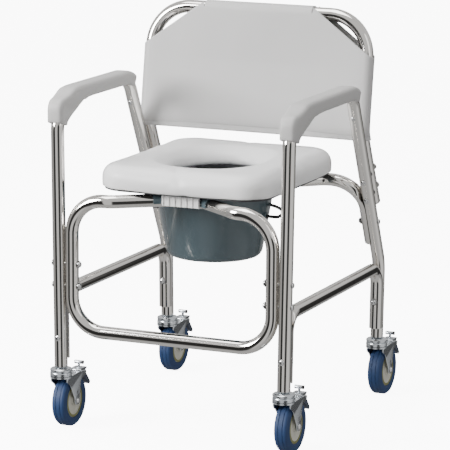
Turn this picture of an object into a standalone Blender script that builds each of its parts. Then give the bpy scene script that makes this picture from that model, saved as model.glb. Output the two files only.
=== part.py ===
"""Wheeled commode chair with arms: a bolted tube frame on four braked swivel casters.

Heights are measured from the floor and depths from the front legs' plane, in metres, with +Z up
and +Y towards the chair's back. Every piece hangs from one empty that carries the chair to its
own frame, whose origin is on the floor in the middle of the chair's box.
"""

from math import asin, atan2, copysign, cos, hypot, pi, radians, sin, sqrt, tan

import bmesh
import bpy
from mathutils import Vector

# Tube stock and clearances
TUBE_R = 0.0127
WALL = 0.0016
BORE_R = TUBE_R - WALL
GAP = 0.0004
TUBE_SIDES = 10
BEND_STEP = radians(15)

# Side frames: front leg, armrest and raked rear leg are one bent tube on each side
FOOT_HALF = 0.2297  # leg axis to the middle, at the foot
SPLAY = 0.0124  # the frames lean outwards by this much for each metre of height
FOOT_Z = 0.125
ARM_Z = 0.640
DEPTH = 0.485
RAKE = 0.4855  # the rear leg runs this far back for each metre that it drops
RAKE_TOP_Y = 0.3083
FRONT_BEND_R = 0.065
ARM_REAR_BEND_R = 0.050
LEG_BEND_R = 0.090

# Front frame: a loop of tube between the front legs, the middle of its top bar set back
LOOP_HALF = 0.2053
LOOP_BOTTOM_Z = 0.198
BAR_Z = 0.4505
LOOP_CORNER_R = 0.065
FRONT_KNEE_OUT = 0.127
FRONT_KNEE_IN = 0.036
FRONT_BAR_Y = 0.068
FRONT_KNEE_R = 0.038
SEAM = 0.0006

# Rear support: an upturned U bolted inside the rear legs, the middle of its bar set forward
REAR_BAR_Y = 0.330
REAR_CORNER_R = 0.062
REAR_KNEE_OUT = 0.148
REAR_KNEE_IN = 0.072
REAR_KNEE_R = 0.030
REAR_END_Z = 0.322

# Side rails, whose saddle ends clasp the legs
RAIL_Z = 0.267
RAIL_BEND_R = 0.034
RAIL_FRONT_END_Z = 0.139
RAIL_REAR_END_Z = 0.144
SADDLE_OFFSET = 0.0096  # from the leg's axis to the saddle's own
SADDLE_CLEAR = 0.0007

# Backrest tube and the sleeve stretched over it
BACK_HALF = 0.229
BACK_BEHIND = 0.0345
BACK_END_Z = 0.405
BACK_KNEE_Z = 0.551
BACK_KNEE_SOFT = 0.0025
BACK_LEVELS = (0.535, 0.551, 0.567, 0.590)
BACK_TILT = 0.150
BACK_TOP_Z = 0.7725
BACK_CORNER_R = 0.080
SLEEVE_THICK = 0.0014
SLEEVE_CLEAR = 0.0010
SLEEVE_FLARE = 0.060  # extra half depth for each metre below the knee
SLEEVE_SHOULDER_Z = 0.695
SLEEVE_TOP_HALF = 0.115

# Arm pads (outline points are depth and height)
PAD_HALF = 0.0200
PAD_BOOT_HALF = 0.0158
PAD_RISE = 0.0165
PAD_THIN = 0.0147
PAD_WEB_MOST = 0.0340
PAD_BORE_R = TUBE_R + 0.0011
PAD_POINTS = 12
PAD_SQUARENESS = 0.72
PAD_BEND_END_Y = 0.100
PAD_WIDE_FROM_Y = 0.040
PAD_OUTSIDE = (
    (-PAD_BOOT_HALF, 0.560),
    (-PAD_BOOT_HALF, 0.626),
    (-0.006, 0.6385),
    (0.012, 0.6415),
    (0.045, 0.6545),
    (0.068, ARM_Z + PAD_RISE),
    (0.200, ARM_Z + PAD_RISE),
)
PAD_WEB = (
    (PAD_BOOT_HALF, 0.560),
    (PAD_BOOT_HALF, 0.591),
    (0.079, ARM_Z - PAD_THIN),
    (0.200, ARM_Z - PAD_THIN),
)

# Seat: a rigid base under a moulded cushion, with a dished oval opening
SEAT_HALF = 0.176
SEAT_FRONT_Y = 0.018
SEAT_BACK_Y = 0.418
SEAT_CORNER_R = 0.062
SEAT_BOTTOM_Z = 0.4640
SEAT_SPLIT_Z = 0.4750
SEAT_TOP_Z = 0.5150
SEAT_EDGE_R = 0.026
SEAT_POINTS = 32
HOLE_Y = 0.208
HOLE_A = 0.082
HOLE_B = 0.104
DISH_A = 0.108
DISH_B = 0.132
DISH_DEPTH = 0.024
RECESS_R = 0.146
RECESS_TOP_Z = 0.4702
NOTCH_HALF = 0.066
NOTCH_FRONT_Y = 0.028
NOTCH_BACK_Y = 0.082
CLIP_HALF = 0.0385
CLIP_Y = 0.0415
CLIP_THICK = 0.0030
CLIP_LOW_Z = 0.4440
CLIP_FLANGE_Y = 0.0300

# Pail, its rim resting on both bars and its front lip hooked over the front one
PAIL_Y = 0.200
PAIL_TOP_R = 0.1160
PAIL_BOTTOM_R = 0.0920
PAIL_BOTTOM_Z = 0.3250
PAIL_WALL = 0.0022
PAIL_SIDES = 24
RIM_R = 0.1350
RIM_Z = BAR_Z + TUBE_R + GAP
RIM_THICK = 0.0032
LIP_HALF = 0.062
LIP_BORE_R = 0.0138
LIP_R = 0.0160
LIP_ANGLES = (-20, 10, 40, 70, 105)  # from straight up, round to the front and below
BAIL_PIVOT_Z = 0.4080
BAIL_R = 0.1310
BAIL_WIRE_R = 0.0032
BAIL_END = 0.1075

# Casters
WHEEL_R = 0.050
WHEEL_SIDES = 16
TRAIL = 0.033
TYRE_HALF = 0.0140
TREAD_HALF = 0.0095
SHOULDER_R = 0.0465
HUB_R = 0.0325
HUB_HALF = 0.0125
AXLE_R = 0.0040
FORK_IN = 0.0155
FORK_THICK = 0.0025
CROWN_Z = 0.1022
CROWN_THICK = 0.0030
CROWN_BACK_Y = 0.046
CROWN_BACK_HALF = 0.0185
CUP_R = 0.0215
CUP_BORE_R = 0.0062
CUP_TOP_Z = 0.1215
STEM_R = 0.0055
COLLAR_R = 0.0085
SOCKET_R = 0.0095
PIVOT_Y = 0.067
PIVOT_Z = 0.0990
PIN_R = 0.0026
PIN_HALF = 0.0151
PEDAL_Y = 0.1040
LEVER_HALF = 0.0110
SCREW_Y = 0.076
SCREW_Z = 0.1150
SCREW_R = 0.0025
SCREW_DROP = 0.0089
SCREW_HEAD_R = 0.0036
SCREW_HEAD_HALF = 0.0095
FORK_BLADE = (
    (-0.0100, 0.1040),
    (0.0710, 0.1040),
    (0.0735, 0.0990),
    (0.0700, 0.0940),
    (0.0500, 0.0905),
    (0.0430, 0.0600),
    (0.0415, 0.0455),
    (0.0330, 0.0410),
    (0.0245, 0.0455),
    (0.0235, 0.0560),
    (0.0040, 0.0860),
    (-0.0100, 0.0940),
)
LEVER = (
    (0.0600, 0.1035),
    (0.0680, 0.1062),
    (0.0885, 0.1050),
    (0.0893, 0.1018),
    (0.0805, 0.0975),
    (0.0905, 0.0885),
    (PEDAL_Y, 0.0715),
    (0.1005, 0.0665),
    (0.0865, 0.0745),
    (0.0765, 0.0845),
    (0.0672, 0.0925),
    (0.0600, 0.0965),
)

# Bolts
BOLT_R = 0.0030
BOLT_SIDES = 8
HEAD_R = 0.0056
HEAD_THICK = 0.0030
NUT_THICK = 0.0060
DRILL_REACH = 0.050
LOOP_BOLT_Z = (0.325, 0.283)
FRONT_RAIL_BOLT_Z = 0.181
REAR_RAIL_BOLT_Z = 0.199
SUPPORT_BOLT_Z = 0.366

# The chair's box runs from the front casters' cups to the rear casters' pedals
ORIGIN_Y = (DEPTH + PEDAL_Y - CUP_R) / 2

SIDES = (("left", -1), ("right", 1))
X_AXIS = Vector((1, 0, 0))
Y_AXIS = Vector((0, 1, 0))
Z_AXIS = Vector((0, 0, 1))


# ---------------------------------------------------------------- scene helpers


def clear_scene():
    for thing in list(bpy.data.objects):
        bpy.data.objects.remove(thing, do_unlink=True)


def make_material(name, colour, roughness, metallic=0.0):
    made = bpy.data.materials.new(name)
    made.use_nodes = True
    shader = made.node_tree.nodes["Principled BSDF"]
    shader.inputs["Base Color"].default_value = (*colour, 1)
    shader.inputs["Roughness"].default_value = roughness
    shader.inputs["Metallic"].default_value = metallic
    return made


def make_empty(name, location, parent=None):
    made = bpy.data.objects.new(name, None)
    bpy.context.scene.collection.objects.link(made)
    made.location = location
    made.parent = parent
    return made


def make_object(name, bm, material, parent, location=(0, 0, 0), along=None):
    """A named object from a bmesh, smooth except at sharp edges, its Z turned along an axis."""
    bmesh.ops.recalc_face_normals(bm, faces=bm.faces)
    mesh = bpy.data.meshes.new(name)
    bm.to_mesh(mesh)
    bm.free()
    mesh.shade_smooth()
    mesh.set_sharp_from_angle(angle=radians(40))
    made = bpy.data.objects.new(name, mesh)
    if material:
        made.data.materials.append(material)
    bpy.context.scene.collection.objects.link(made)
    made.parent = parent
    made.location = location
    if along:
        made.rotation_mode = "QUATERNION"
        made.rotation_quaternion = Z_AXIS.rotation_difference(Vector(along).normalized())
    return made


def combine(target, tool, operation="DIFFERENCE"):
    """Cut a hidden tool object from a target, or join it on."""
    tool.hide_render = True
    tool.display_type = "WIRE"
    step = target.modifiers.new(tool.name, "BOOLEAN")
    step.operation = operation
    step.object = tool
    step.solver = "EXACT"


# ---------------------------------------------------------------- shape helpers


def loft(rings, closed=False):
    """Skin a row of rings. An open row is capped, a closed one joins its last ring to its first."""
    bm = bmesh.new()
    rows = [[bm.verts.new(point) for point in ring] for ring in rings]
    pairs = list(zip(rows, rows[1:]))
    if closed:
        pairs.append((rows[-1], rows[0]))
    for low, high in pairs:
        count = len(low)
        for i in range(count):
            j = (i + 1) % count
            bm.faces.new((low[i], low[j], high[j], high[i]))
    if not closed:
        bm.faces.new(list(reversed(rows[0])))
        bm.faces.new(rows[-1])
    return bm


def turned(profile, sides, axis="Z", closed=False, phase=0.0):
    """Turn a profile of (radius, height) points about an axis."""
    rings = []
    for radius, height in profile:
        ring = []
        for i in range(sides):
            angle = phase + 2 * pi * i / sides
            a = radius * cos(angle)
            b = radius * sin(angle)
            ring.append((a, b, height) if axis == "Z" else (height, a, b))
        rings.append(ring)
    return loft(rings, closed)


def extruded(outline, half, middle=0.0):
    """A flat outline of (y, z) points given thickness along X, to both sides of a middle."""
    return loft([[(x, y, z) for y, z in outline] for x in (middle - half, middle + half)])


def block(low, high):
    """A box between two opposite corners."""
    outline = [(low[1], low[2]), (high[1], low[2]), (high[1], high[2]), (low[1], high[2])]
    return extruded(outline, (high[0] - low[0]) / 2, (high[0] + low[0]) / 2)


def filleted(points, radii, step=BEND_STEP):
    """A path through the points with each inner corner rounded to its radius."""
    path = [Vector(points[0])]
    for before, corner, after, radius in zip(points, points[1:], points[2:], radii):
        corner = Vector(corner)
        towards = (Vector(before) - corner).normalized()
        away = (Vector(after) - corner).normalized()
        turn = pi - towards.angle(away)
        start = corner + towards * radius * tan(turn / 2)
        centre = corner + (towards + away).normalized() * radius / cos(turn / 2)
        out = (start - centre).normalized()
        count = max(2, round(turn / step))
        for i in range(count + 1):
            angle = turn * i / count
            path.append(centre + radius * (cos(angle) * out - sin(angle) * towards))
    path.append(Vector(points[-1]))
    return path


def frames_along(path, across):
    """At each point of a path: the point and two directions square to the path."""
    frames = []
    for i, point in enumerate(path):
        ahead = (path[min(i + 1, len(path) - 1)] - point).normalized()
        behind = (point - path[max(i - 1, 0)]).normalized()
        along = (ahead + behind).normalized()
        side = (across - across.dot(along) * along).normalized()
        frames.append((point, side, along.cross(side)))
    return frames


def circle(radius, sides=TUBE_SIDES):
    return [(radius * cos(2 * pi * i / sides), radius * sin(2 * pi * i / sides)) for i in range(sides)]


def rings_along(path, across, sections):
    """One ring for each point of a path, each from its own section."""
    rings = []
    for (point, side, other), section in zip(frames_along(path, across), sections):
        rings.append([point + side * a + other * b for a, b in section])
    return rings


def hollow(outer, inner):
    """A wall between an outer and an inner row of rings, open at both ends."""
    return loft(outer + list(reversed(inner)), closed=True)


def bent_tube(path, across):
    outer = rings_along(path, across, [circle(TUBE_R)] * len(path))
    inner = rings_along(path, across, [circle(BORE_R)] * len(path))
    return hollow(outer, inner)


def saddle(radius, hug):
    """Section of a tube pressed onto a leg: its far half stays round, its near half hugs the leg.

    The section is centred on the tube's own axis, and the leg lies SADDLE_OFFSET away along -b.
    """
    meet_b = (hug**2 - radius**2 + SADDLE_OFFSET**2) / (2 * SADDLE_OFFSET)
    meet_a = sqrt(hug**2 - meet_b**2)
    round_from = atan2(meet_b - SADDLE_OFFSET, meet_a)
    hug_half = asin(meet_a / hug)
    half = TUBE_SIDES // 2
    points = []
    for i in range(half + 1):
        angle = round_from + (pi - 2 * round_from) * i / half
        points.append((radius * cos(angle), radius * sin(angle)))
    for i in range(1, half):
        angle = pi / 2 + hug_half - 2 * hug_half * i / half
        points.append((hug * cos(angle), hug * sin(angle) - SADDLE_OFFSET))
    return points


def blend(section, other, share):
    """A section part of the way from one to another with as many points."""
    return [
        (a + (c - a) * share, b + (d - b) * share) for (a, b), (c, d) in zip(section, other)
    ]


def tube_with_saddles(path, across, distances):
    """A tube whose section turns into a saddle wherever its axis comes close to a leg's axis."""
    far = 2 * TUBE_R + GAP
    hug = TUBE_R + SADDLE_CLEAR
    outer_sections = []
    inner_sections = []
    for distance in distances:
        share = min(max((far - distance) / (far - SADDLE_OFFSET), 0.0), 1.0)
        outer_sections.append(blend(circle(TUBE_R), saddle(TUBE_R, hug), share))
        inner_sections.append(blend(circle(BORE_R), saddle(BORE_R, hug + WALL), share))
    outer = rings_along(path, across, outer_sections)
    inner = rings_along(path, across, inner_sections)
    return hollow(outer, inner)


def mirrored(path):
    """The same path on the other side of the chair, run the other way."""
    return [Vector((-p.x, p.y, p.z)) for p in reversed(path)]


# ---------------------------------------------------------------- lines of the frame


def leg_x(z):
    """Distance of the side frames' plane from the middle, at a height."""
    return FOOT_HALF + (z - FOOT_Z) * SPLAY


def rake_y(z):
    """Depth of the raked rear leg's axis at a height."""
    return RAKE_TOP_Y + (ARM_Z - z) * RAKE


def back_y(z):
    """Depth of the backrest tube's axis at a height: along the rear leg, then nearly upright."""
    low = rake_y(z) + BACK_BEHIND
    high = rake_y(BACK_KNEE_Z) + BACK_BEHIND + (z - BACK_KNEE_Z) * BACK_TILT
    return (low + high) / 2 + hypot((low - high) / 2, BACK_KNEE_SOFT)


def side_point(sign, y, z):
    """A point on a side frame's plane."""
    return Vector((sign * leg_x(z), y, z))


def side_frame_path(sign):
    """From the front foot up, along the armrest and down the raked leg to the rear foot."""
    knee_z = ARM_Z - (DEPTH - RAKE_TOP_Y) / RAKE
    corners = [(0, FOOT_Z), (0, ARM_Z), (RAKE_TOP_Y, ARM_Z), (DEPTH, knee_z), (DEPTH, FOOT_Z)]
    points = [side_point(sign, y, z) for y, z in corners]
    return filleted(points, (FRONT_BEND_R, ARM_REAR_BEND_R, LEG_BEND_R))


def front_loop_path():
    """From the seam in the middle of the lower bar, round the loop and back to the seam."""
    corners = [
        (SEAM / 2, 0, LOOP_BOTTOM_Z),
        (LOOP_HALF, 0, LOOP_BOTTOM_Z),
        (LOOP_HALF, 0, BAR_Z),
        (FRONT_KNEE_OUT, 0, BAR_Z),
        (FRONT_KNEE_IN, FRONT_BAR_Y, BAR_Z),
        (0, FRONT_BAR_Y, BAR_Z),
    ]
    radii = (LOOP_CORNER_R, LOOP_CORNER_R, FRONT_KNEE_R, FRONT_KNEE_R)
    right = filleted(corners, radii)[:-1]
    return right + mirrored(right)


def rear_support_path():
    """From the right saddle up the raked leg, across behind the pail and down on the left."""
    corners = [
        (leg_x(REAR_END_Z) - SADDLE_OFFSET, rake_y(REAR_END_Z), REAR_END_Z),
        (leg_x(BAR_Z) - SADDLE_OFFSET, rake_y(BAR_Z), BAR_Z),
        (REAR_KNEE_OUT, rake_y(BAR_Z), BAR_Z),
        (REAR_KNEE_IN, REAR_BAR_Y, BAR_Z),
        (0, REAR_BAR_Y, BAR_Z),
    ]
    right = filleted(corners, (REAR_CORNER_R, REAR_KNEE_R, REAR_KNEE_R))[:-1]
    return right + mirrored(right)


def rail_path(sign):
    """From the front leg's saddle up, back along the chair's side and down to the rear leg's."""
    front = SADDLE_OFFSET
    rear = DEPTH - SADDLE_OFFSET
    corners = [(front, RAIL_FRONT_END_Z), (front, RAIL_Z), (rear, RAIL_Z), (rear, RAIL_REAR_END_Z)]
    return filleted([side_point(sign, y, z) for y, z in corners], (RAIL_BEND_R, RAIL_BEND_R))


def backrest_path():
    """An upturned U from one lower end, over the top and down to the other."""
    lower = [Vector((BACK_HALF, back_y(z), z)) for z in (BACK_END_Z, 0.505, *BACK_LEVELS)]
    corner = Vector((BACK_HALF, back_y(BACK_TOP_Z), BACK_TOP_Z))
    middle = Vector((0, back_y(BACK_TOP_Z), BACK_TOP_Z))
    right = lower[:-1] + filleted([lower[-1], corner, middle], (BACK_CORNER_R,))[:-1]
    return right + mirrored(right)


# ---------------------------------------------------------------- frame and bolts


def make_bolt(name, centre, axis, low, material, parent):
    """A bolt through a leg, its head on the leg's far side and its nut's end at low."""
    high = TUBE_R + GAP + HEAD_THICK
    profile = [
        (HEAD_R * 0.55, low),
        (HEAD_R, low + NUT_THICK * 0.45),
        (HEAD_R, low + NUT_THICK),
        (BOLT_R, low + NUT_THICK),
        (BOLT_R, high - HEAD_THICK),
        (HEAD_R, high - HEAD_THICK),
        (HEAD_R, high - HEAD_THICK * 0.6),
        (HEAD_R * 0.5, high),
    ]
    make_object(name, turned(profile, BOLT_SIDES), material, parent, centre, axis)


def drill(targets, name, centre, axis, parent):
    """A clearance hole through each target along a bolt's axis."""
    ends = [(BOLT_R + GAP, -DRILL_REACH), (BOLT_R + GAP, DRILL_REACH)]
    hole = make_object(name + "_hole", turned(ends, BOLT_SIDES), None, parent, centre, axis)
    for target in targets:
        combine(target, hole)


def build_frame(root, looks):
    metal = looks["tube"]
    loop = make_object("front_frame", bent_tube(front_loop_path(), Y_AXIS), metal, root)
    path = rear_support_path()
    gaps = [leg_x(p.z) - abs(p.x) for p in path]
    square_to_rake = Vector((0, 1, RAKE)).normalized()
    support_tube = tube_with_saddles(path, square_to_rake, gaps)
    support = make_object("rear_support", support_tube, metal, root)
    make_object("backrest_tube", bent_tube(backrest_path(), Y_AXIS), metal, root)
    under_saddle = -(TUBE_R + SADDLE_OFFSET + GAP + NUT_THICK)
    for side, sign in SIDES:
        leg = make_object("side_frame_" + side, bent_tube(side_frame_path(sign), X_AXIS), metal, root)
        path = rail_path(sign)
        gaps = [min(p.y, DEPTH - p.y) for p in path]
        rail = make_object("side_rail_" + side, tube_with_saddles(path, X_AXIS, gaps), metal, root)
        bolts = []
        for level, z in zip(("upper", "lower"), LOOP_BOLT_Z):
            low = -(leg_x(z) - LOOP_HALF + TUBE_R + GAP + NUT_THICK)
            bolts.append((f"loop_bolt_{side}_{level}", 0, z, (sign, 0, 0), low, loop))
        z = FRONT_RAIL_BOLT_Z
        bolts.append((f"rail_bolt_{side}_front", 0, z, (0, -1, 0), under_saddle, rail))
        z = REAR_RAIL_BOLT_Z
        bolts.append((f"rail_bolt_{side}_rear", DEPTH, z, (0, 1, 0), under_saddle, rail))
        z = SUPPORT_BOLT_Z
        bolts.append((f"support_bolt_{side}", rake_y(z), z, (sign, 0, 0), under_saddle, support))
        for name, y, z, axis, low, other in bolts:
            centre = side_point(sign, y, z)
            drill((leg, other), name, centre, axis, root)
            make_bolt(name, centre, axis, low, looks["bolt"], root)


# ---------------------------------------------------------------- backrest trim


def build_back_plugs(root, looks):
    """End caps pushed into the lower ends of the backrest tube."""
    along = (0, RAKE, -1)
    profile = [(0.0100, -0.012), (0.0100, GAP), (TUBE_R, GAP), (TUBE_R, 0.003)]
    for side, sign in SIDES:
        end = (sign * BACK_HALF, back_y(BACK_END_Z), BACK_END_Z)
        plug = turned(profile, TUBE_SIDES)
        make_object("backrest_plug_" + side, plug, looks["black"], root, end, along)


def sleeve_slab(half_depth, bottom):
    """The sleeve's outside or inside: a slab with round sides and top that follows the tube."""
    crown = BACK_TOP_Z
    levels = [bottom, *BACK_LEVELS[1:], crown]
    if bottom < BACK_LEVELS[0]:
        levels.insert(1, BACK_LEVELS[0])
    levels += [crown + half_depth * sin(radians(angle)) for angle in (30, 60, 80)]
    rings = []
    for level in levels:
        depth = half_depth + max(BACK_KNEE_Z - level, 0) * SLEEVE_FLARE
        depth *= sqrt(1 - (max(level - crown, 0.0) / half_depth) ** 2)
        middle = back_y(min(level, crown))
        ring = []
        for sign in (1, -1):
            for i in range(7):
                angle = -pi / 2 + pi * i / 6
                x = BACK_HALF + depth * cos(angle)
                ring.append((sign * x, middle + sign * depth * sin(angle), level))
        rings.append(ring)
    return loft(rings)


def build_sleeve(root, looks):
    """A pillowcase over the backrest tube, open below, its top corners cut off on the slant."""
    inner = TUBE_R + SLEEVE_CLEAR
    outer = inner + SLEEVE_THICK
    outside = sleeve_slab(outer, BACK_LEVELS[0])
    sleeve = make_object("back_sleeve", outside, looks["vinyl"], root)
    inside = sleeve_slab(inner, BACK_LEVELS[0] - 0.02)
    combine(sleeve, make_object("sleeve_inside", inside, None, root))
    top = BACK_TOP_Z + outer
    outline = [
        (SLEEVE_TOP_HALF, top),
        (SLEEVE_TOP_HALF - 0.02, top + 0.02),
        (0.30, top + 0.02),
        (0.30, SLEEVE_SHOULDER_Z),
        (BACK_HALF + outer, SLEEVE_SHOULDER_Z),
    ]
    for side, sign in SIDES:
        corner = loft([[(sign * x, y, z) for x, z in outline] for y in (0.36, 0.48)])
        combine(sleeve, make_object("sleeve_corner_" + side, corner, None, root))


# ---------------------------------------------------------------- arm pads


def reach(origin, direction, outline):
    """Distance from a point along a direction to an outline of depth and height points."""
    best = 1.0
    for (y0, z0), (y1, z1) in zip(outline, outline[1:]):
        ey = y1 - y0
        ez = z1 - z0
        oy = y0 - origin.y
        oz = z0 - origin.z
        cross = direction.y * ez - direction.z * ey
        if abs(cross) < 1e-9:
            continue
        along = (oy * ez - oz * ey) / cross
        share = (oy * direction.z - oz * direction.y) / cross
        if along > 0 and 0 <= share <= 1:
            best = min(best, along)
    return best


def pad_ring(point, side, other):
    """Section of an arm pad: a boxy oval, taller over the front bend where the pad is a corner."""
    half = PAD_HALF
    rise = PAD_RISE
    drop = PAD_THIN
    if point.y < PAD_BEND_END_Y:
        rise = max(reach(point, -other, PAD_OUTSIDE), PAD_THIN)
        drop = min(max(reach(point, other, PAD_WEB), PAD_THIN), PAD_WEB_MOST)
        half = PAD_BOOT_HALF + (PAD_HALF - PAD_BOOT_HALF) * min(point.y / PAD_WIDE_FROM_Y, 1)
    ring = []
    for ca, sa in circle(1, PAD_POINTS):
        a = half * copysign(abs(ca) ** PAD_SQUARENESS, ca)
        b = abs(sa) ** PAD_SQUARENESS * (-rise if sa < 0 else drop)
        ring.append(point + side * a + other * b)
    return ring


def build_arm_pads(root, looks):
    """Moulded sleeves over the front bends and armrests, ending part way round the rear bends."""
    for side, sign in SIDES:
        whole = side_frame_path(sign)
        straight = [side_point(sign, y, ARM_Z) for y in (0.082, 0.094)]
        path = whole[2:8] + straight + whole[8:11]
        outer = [pad_ring(*frame) for frame in frames_along(path, X_AXIS)]
        inner = rings_along(path, X_AXIS, [circle(PAD_BORE_R, PAD_POINTS)] * len(path))
        make_object("arm_pad_" + side, hollow(outer, inner), looks["pad"], root)


# ---------------------------------------------------------------- seat


def seat_outline(inset, z):
    """The seat's rounded rectangle, drawn in by an inset."""
    radius = SEAT_CORNER_R - inset
    wide = SEAT_HALF - SEAT_CORNER_R
    deep = (SEAT_BACK_Y - SEAT_FRONT_Y) / 2 - SEAT_CORNER_R
    middle = (SEAT_BACK_Y + SEAT_FRONT_Y) / 2
    ring = []
    for i in range(SEAT_POINTS):
        angle = 2 * pi * (i + 0.5) / SEAT_POINTS
        x = copysign(wide, cos(angle)) + radius * cos(angle)
        y = middle + copysign(deep, sin(angle)) + radius * sin(angle)
        ring.append((x, y, z))
    return ring


def oval(a, b, middle, z):
    ring = []
    for i in range(SEAT_POINTS):
        angle = 2 * pi * (i + 0.5) / SEAT_POINTS
        ring.append((a * cos(angle), middle + b * sin(angle), z))
    return ring


def build_cushion(seat, looks):
    """A moulded ring with a rounded edge and a dish round the opening."""
    low = SEAT_SPLIT_Z + GAP
    edge = SEAT_EDGE_R
    rings = [seat_outline(0, low), seat_outline(0, SEAT_TOP_Z - edge)]
    for degrees in (30, 60):
        turn = radians(degrees)
        rings.append(seat_outline(edge * (1 - cos(turn)), SEAT_TOP_Z - edge + edge * sin(turn)))
    rings.append(seat_outline(edge, SEAT_TOP_Z))
    rings.append(oval(DISH_A, DISH_B, HOLE_Y, SEAT_TOP_Z))
    rings.append(oval(0.093, 0.116, HOLE_Y, SEAT_TOP_Z - 0.010))
    rings.append(oval(HOLE_A + 0.003, HOLE_B + 0.003, HOLE_Y, SEAT_TOP_Z - DISH_DEPTH))
    rings.append(oval(HOLE_A, HOLE_B, HOLE_Y, 0.4850))
    rings.append(oval(HOLE_A, HOLE_B, HOLE_Y, low))
    make_object("seat_cushion", loft(rings, closed=True), looks["seat"], seat)


def build_seat(seat, looks):
    """A base whose underside is hollowed for the pail's rim and lip, with a clip in front."""
    build_cushion(seat, looks)
    rings = [
        seat_outline(0.004, SEAT_BOTTOM_Z),
        seat_outline(0, SEAT_SPLIT_Z),
        oval(HOLE_A + 0.003, HOLE_B + 0.003, HOLE_Y, SEAT_SPLIT_Z),
        oval(HOLE_A + 0.003, HOLE_B + 0.003, HOLE_Y, RECESS_TOP_Z),
        oval(RECESS_R, RECESS_R, PAIL_Y, RECESS_TOP_Z),
        oval(RECESS_R, RECESS_R, PAIL_Y, SEAT_BOTTOM_Z),
    ]
    base = make_object("seat_base", loft(rings, closed=True), looks["seat"], seat)
    low = (-NOTCH_HALF, NOTCH_FRONT_Y, 0.455)
    high = (NOTCH_HALF, NOTCH_BACK_Y, RECESS_TOP_Z)
    combine(base, make_object("seat_notch", block(low, high), None, seat))
    top = RECESS_TOP_Z - GAP
    outline = [
        (CLIP_Y, CLIP_LOW_Z),
        (CLIP_Y + CLIP_THICK, CLIP_LOW_Z),
        (CLIP_Y + CLIP_THICK, top),
        (CLIP_FLANGE_Y, top),
        (CLIP_FLANGE_Y, top - CLIP_THICK),
        (CLIP_Y, top - CLIP_THICK),
    ]
    make_object("seat_front_clip", extruded(outline, CLIP_HALF), looks["clip"], seat)


# ---------------------------------------------------------------- pail


def pail_lip():
    """A gutter over the front bar's middle, following the bar's bends."""
    knee_slope = FRONT_BAR_Y / (FRONT_KNEE_OUT - FRONT_KNEE_IN)
    end_y = FRONT_BAR_Y - (LIP_HALF - FRONT_KNEE_IN) * knee_slope
    inside = [p for p in front_loop_path() if p.z > BAR_Z - GAP and abs(p.x) < LIP_HALF]
    path = [Vector((LIP_HALF, end_y, BAR_Z)), *inside, Vector((-LIP_HALF, end_y, BAR_Z))]
    section = [(LIP_R * cos(radians(t)), -LIP_R * sin(radians(t))) for t in LIP_ANGLES]
    turns = reversed(LIP_ANGLES)
    section += [(LIP_BORE_R * cos(radians(t)), -LIP_BORE_R * sin(radians(t))) for t in turns]
    return loft(rings_along(path, Z_AXIS, [section] * len(path)))


def build_pail(root, looks):
    """A tapered bucket whose rim rests on both bars."""
    floor = PAIL_BOTTOM_Z
    inner_top = PAIL_TOP_R - PAIL_WALL
    inner_bottom = PAIL_BOTTOM_R - PAIL_WALL
    profile = [
        (0.030, floor),
        (PAIL_BOTTOM_R - 0.008, floor),
        (PAIL_BOTTOM_R, floor + 0.005),
        (PAIL_TOP_R, RIM_Z),
        (RIM_R, RIM_Z),
        (RIM_R, RIM_Z + RIM_THICK),
        (inner_top, RIM_Z + RIM_THICK),
        (inner_bottom, floor + 0.0075),
        (PAIL_BOTTOM_R - 0.010, floor + PAIL_WALL),
        (0.030, floor + PAIL_WALL),
    ]
    bucket = turned(profile, PAIL_SIDES)
    pail = make_object("pail", bucket, looks["pail"], root, (0, PAIL_Y, 0))
    combine(pail, make_object("pail_lip", pail_lip(), None, root), "UNION")


def build_pail_handle(root, looks):
    """A wire bail in the pail's sides, lying back level, with its origin on its pivots' line."""
    right = [Vector((BAIL_END, 0, 0)), Vector((BAIL_R, 0, 0))]
    count = 7
    for i in range(1, count):
        angle = pi / 2 * i / count
        right.append(Vector((BAIL_R * cos(angle), BAIL_R * sin(angle), 0)))
    path = right + [Vector((0, BAIL_R, 0))] + mirrored(right)
    wire = loft(rings_along(path, Z_AXIS, [circle(BAIL_WIRE_R, 8)] * len(path)))
    make_object("pail_handle", wire, looks["black"], root, (0, PAIL_Y, BAIL_PIVOT_Z))


# ---------------------------------------------------------------- casters


def both_ways(profile):
    """A turned profile of (radius, height) below its middle, carried on above it."""
    return profile + [(radius, -height) for radius, height in reversed(profile)]


def build_stem(corner, foot, root, looks):
    """The caster's fixed stem: its neck under the leg and its socket up inside the tube."""
    profile = [
        (STEM_R - 0.0015, 0.1065),
        (STEM_R, 0.1075),
        (STEM_R, 0.1222),
        (COLLAR_R, 0.1222),
        (COLLAR_R, FOOT_Z - GAP),
        (SOCKET_R, FOOT_Z + 0.0008),
        (SOCKET_R, FOOT_Z + 0.0340),
        (0.0070, FOOT_Z + 0.0370),
    ]
    make_object("caster_stem_" + corner, turned(profile, TUBE_SIDES), looks["zinc"], root, foot)


def build_cup(corner, swivel, looks):
    """Two pressed bands round the swivel bearing."""
    profile = [
        (CUP_BORE_R, 0.1055),
        (CUP_R - 0.0010, 0.1055),
        (CUP_R, 0.1075),
        (CUP_R, 0.1125),
        (CUP_R - 0.0020, 0.1135),
        (CUP_R - 0.0020, 0.1150),
        (CUP_R, 0.1160),
        (CUP_R - 0.0005, 0.1195),
        (0.0150, CUP_TOP_Z),
        (CUP_BORE_R, CUP_TOP_Z),
    ]
    make_object("caster_cup_" + corner, turned(profile, 12, closed=True), looks["zinc"], swivel)


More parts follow.
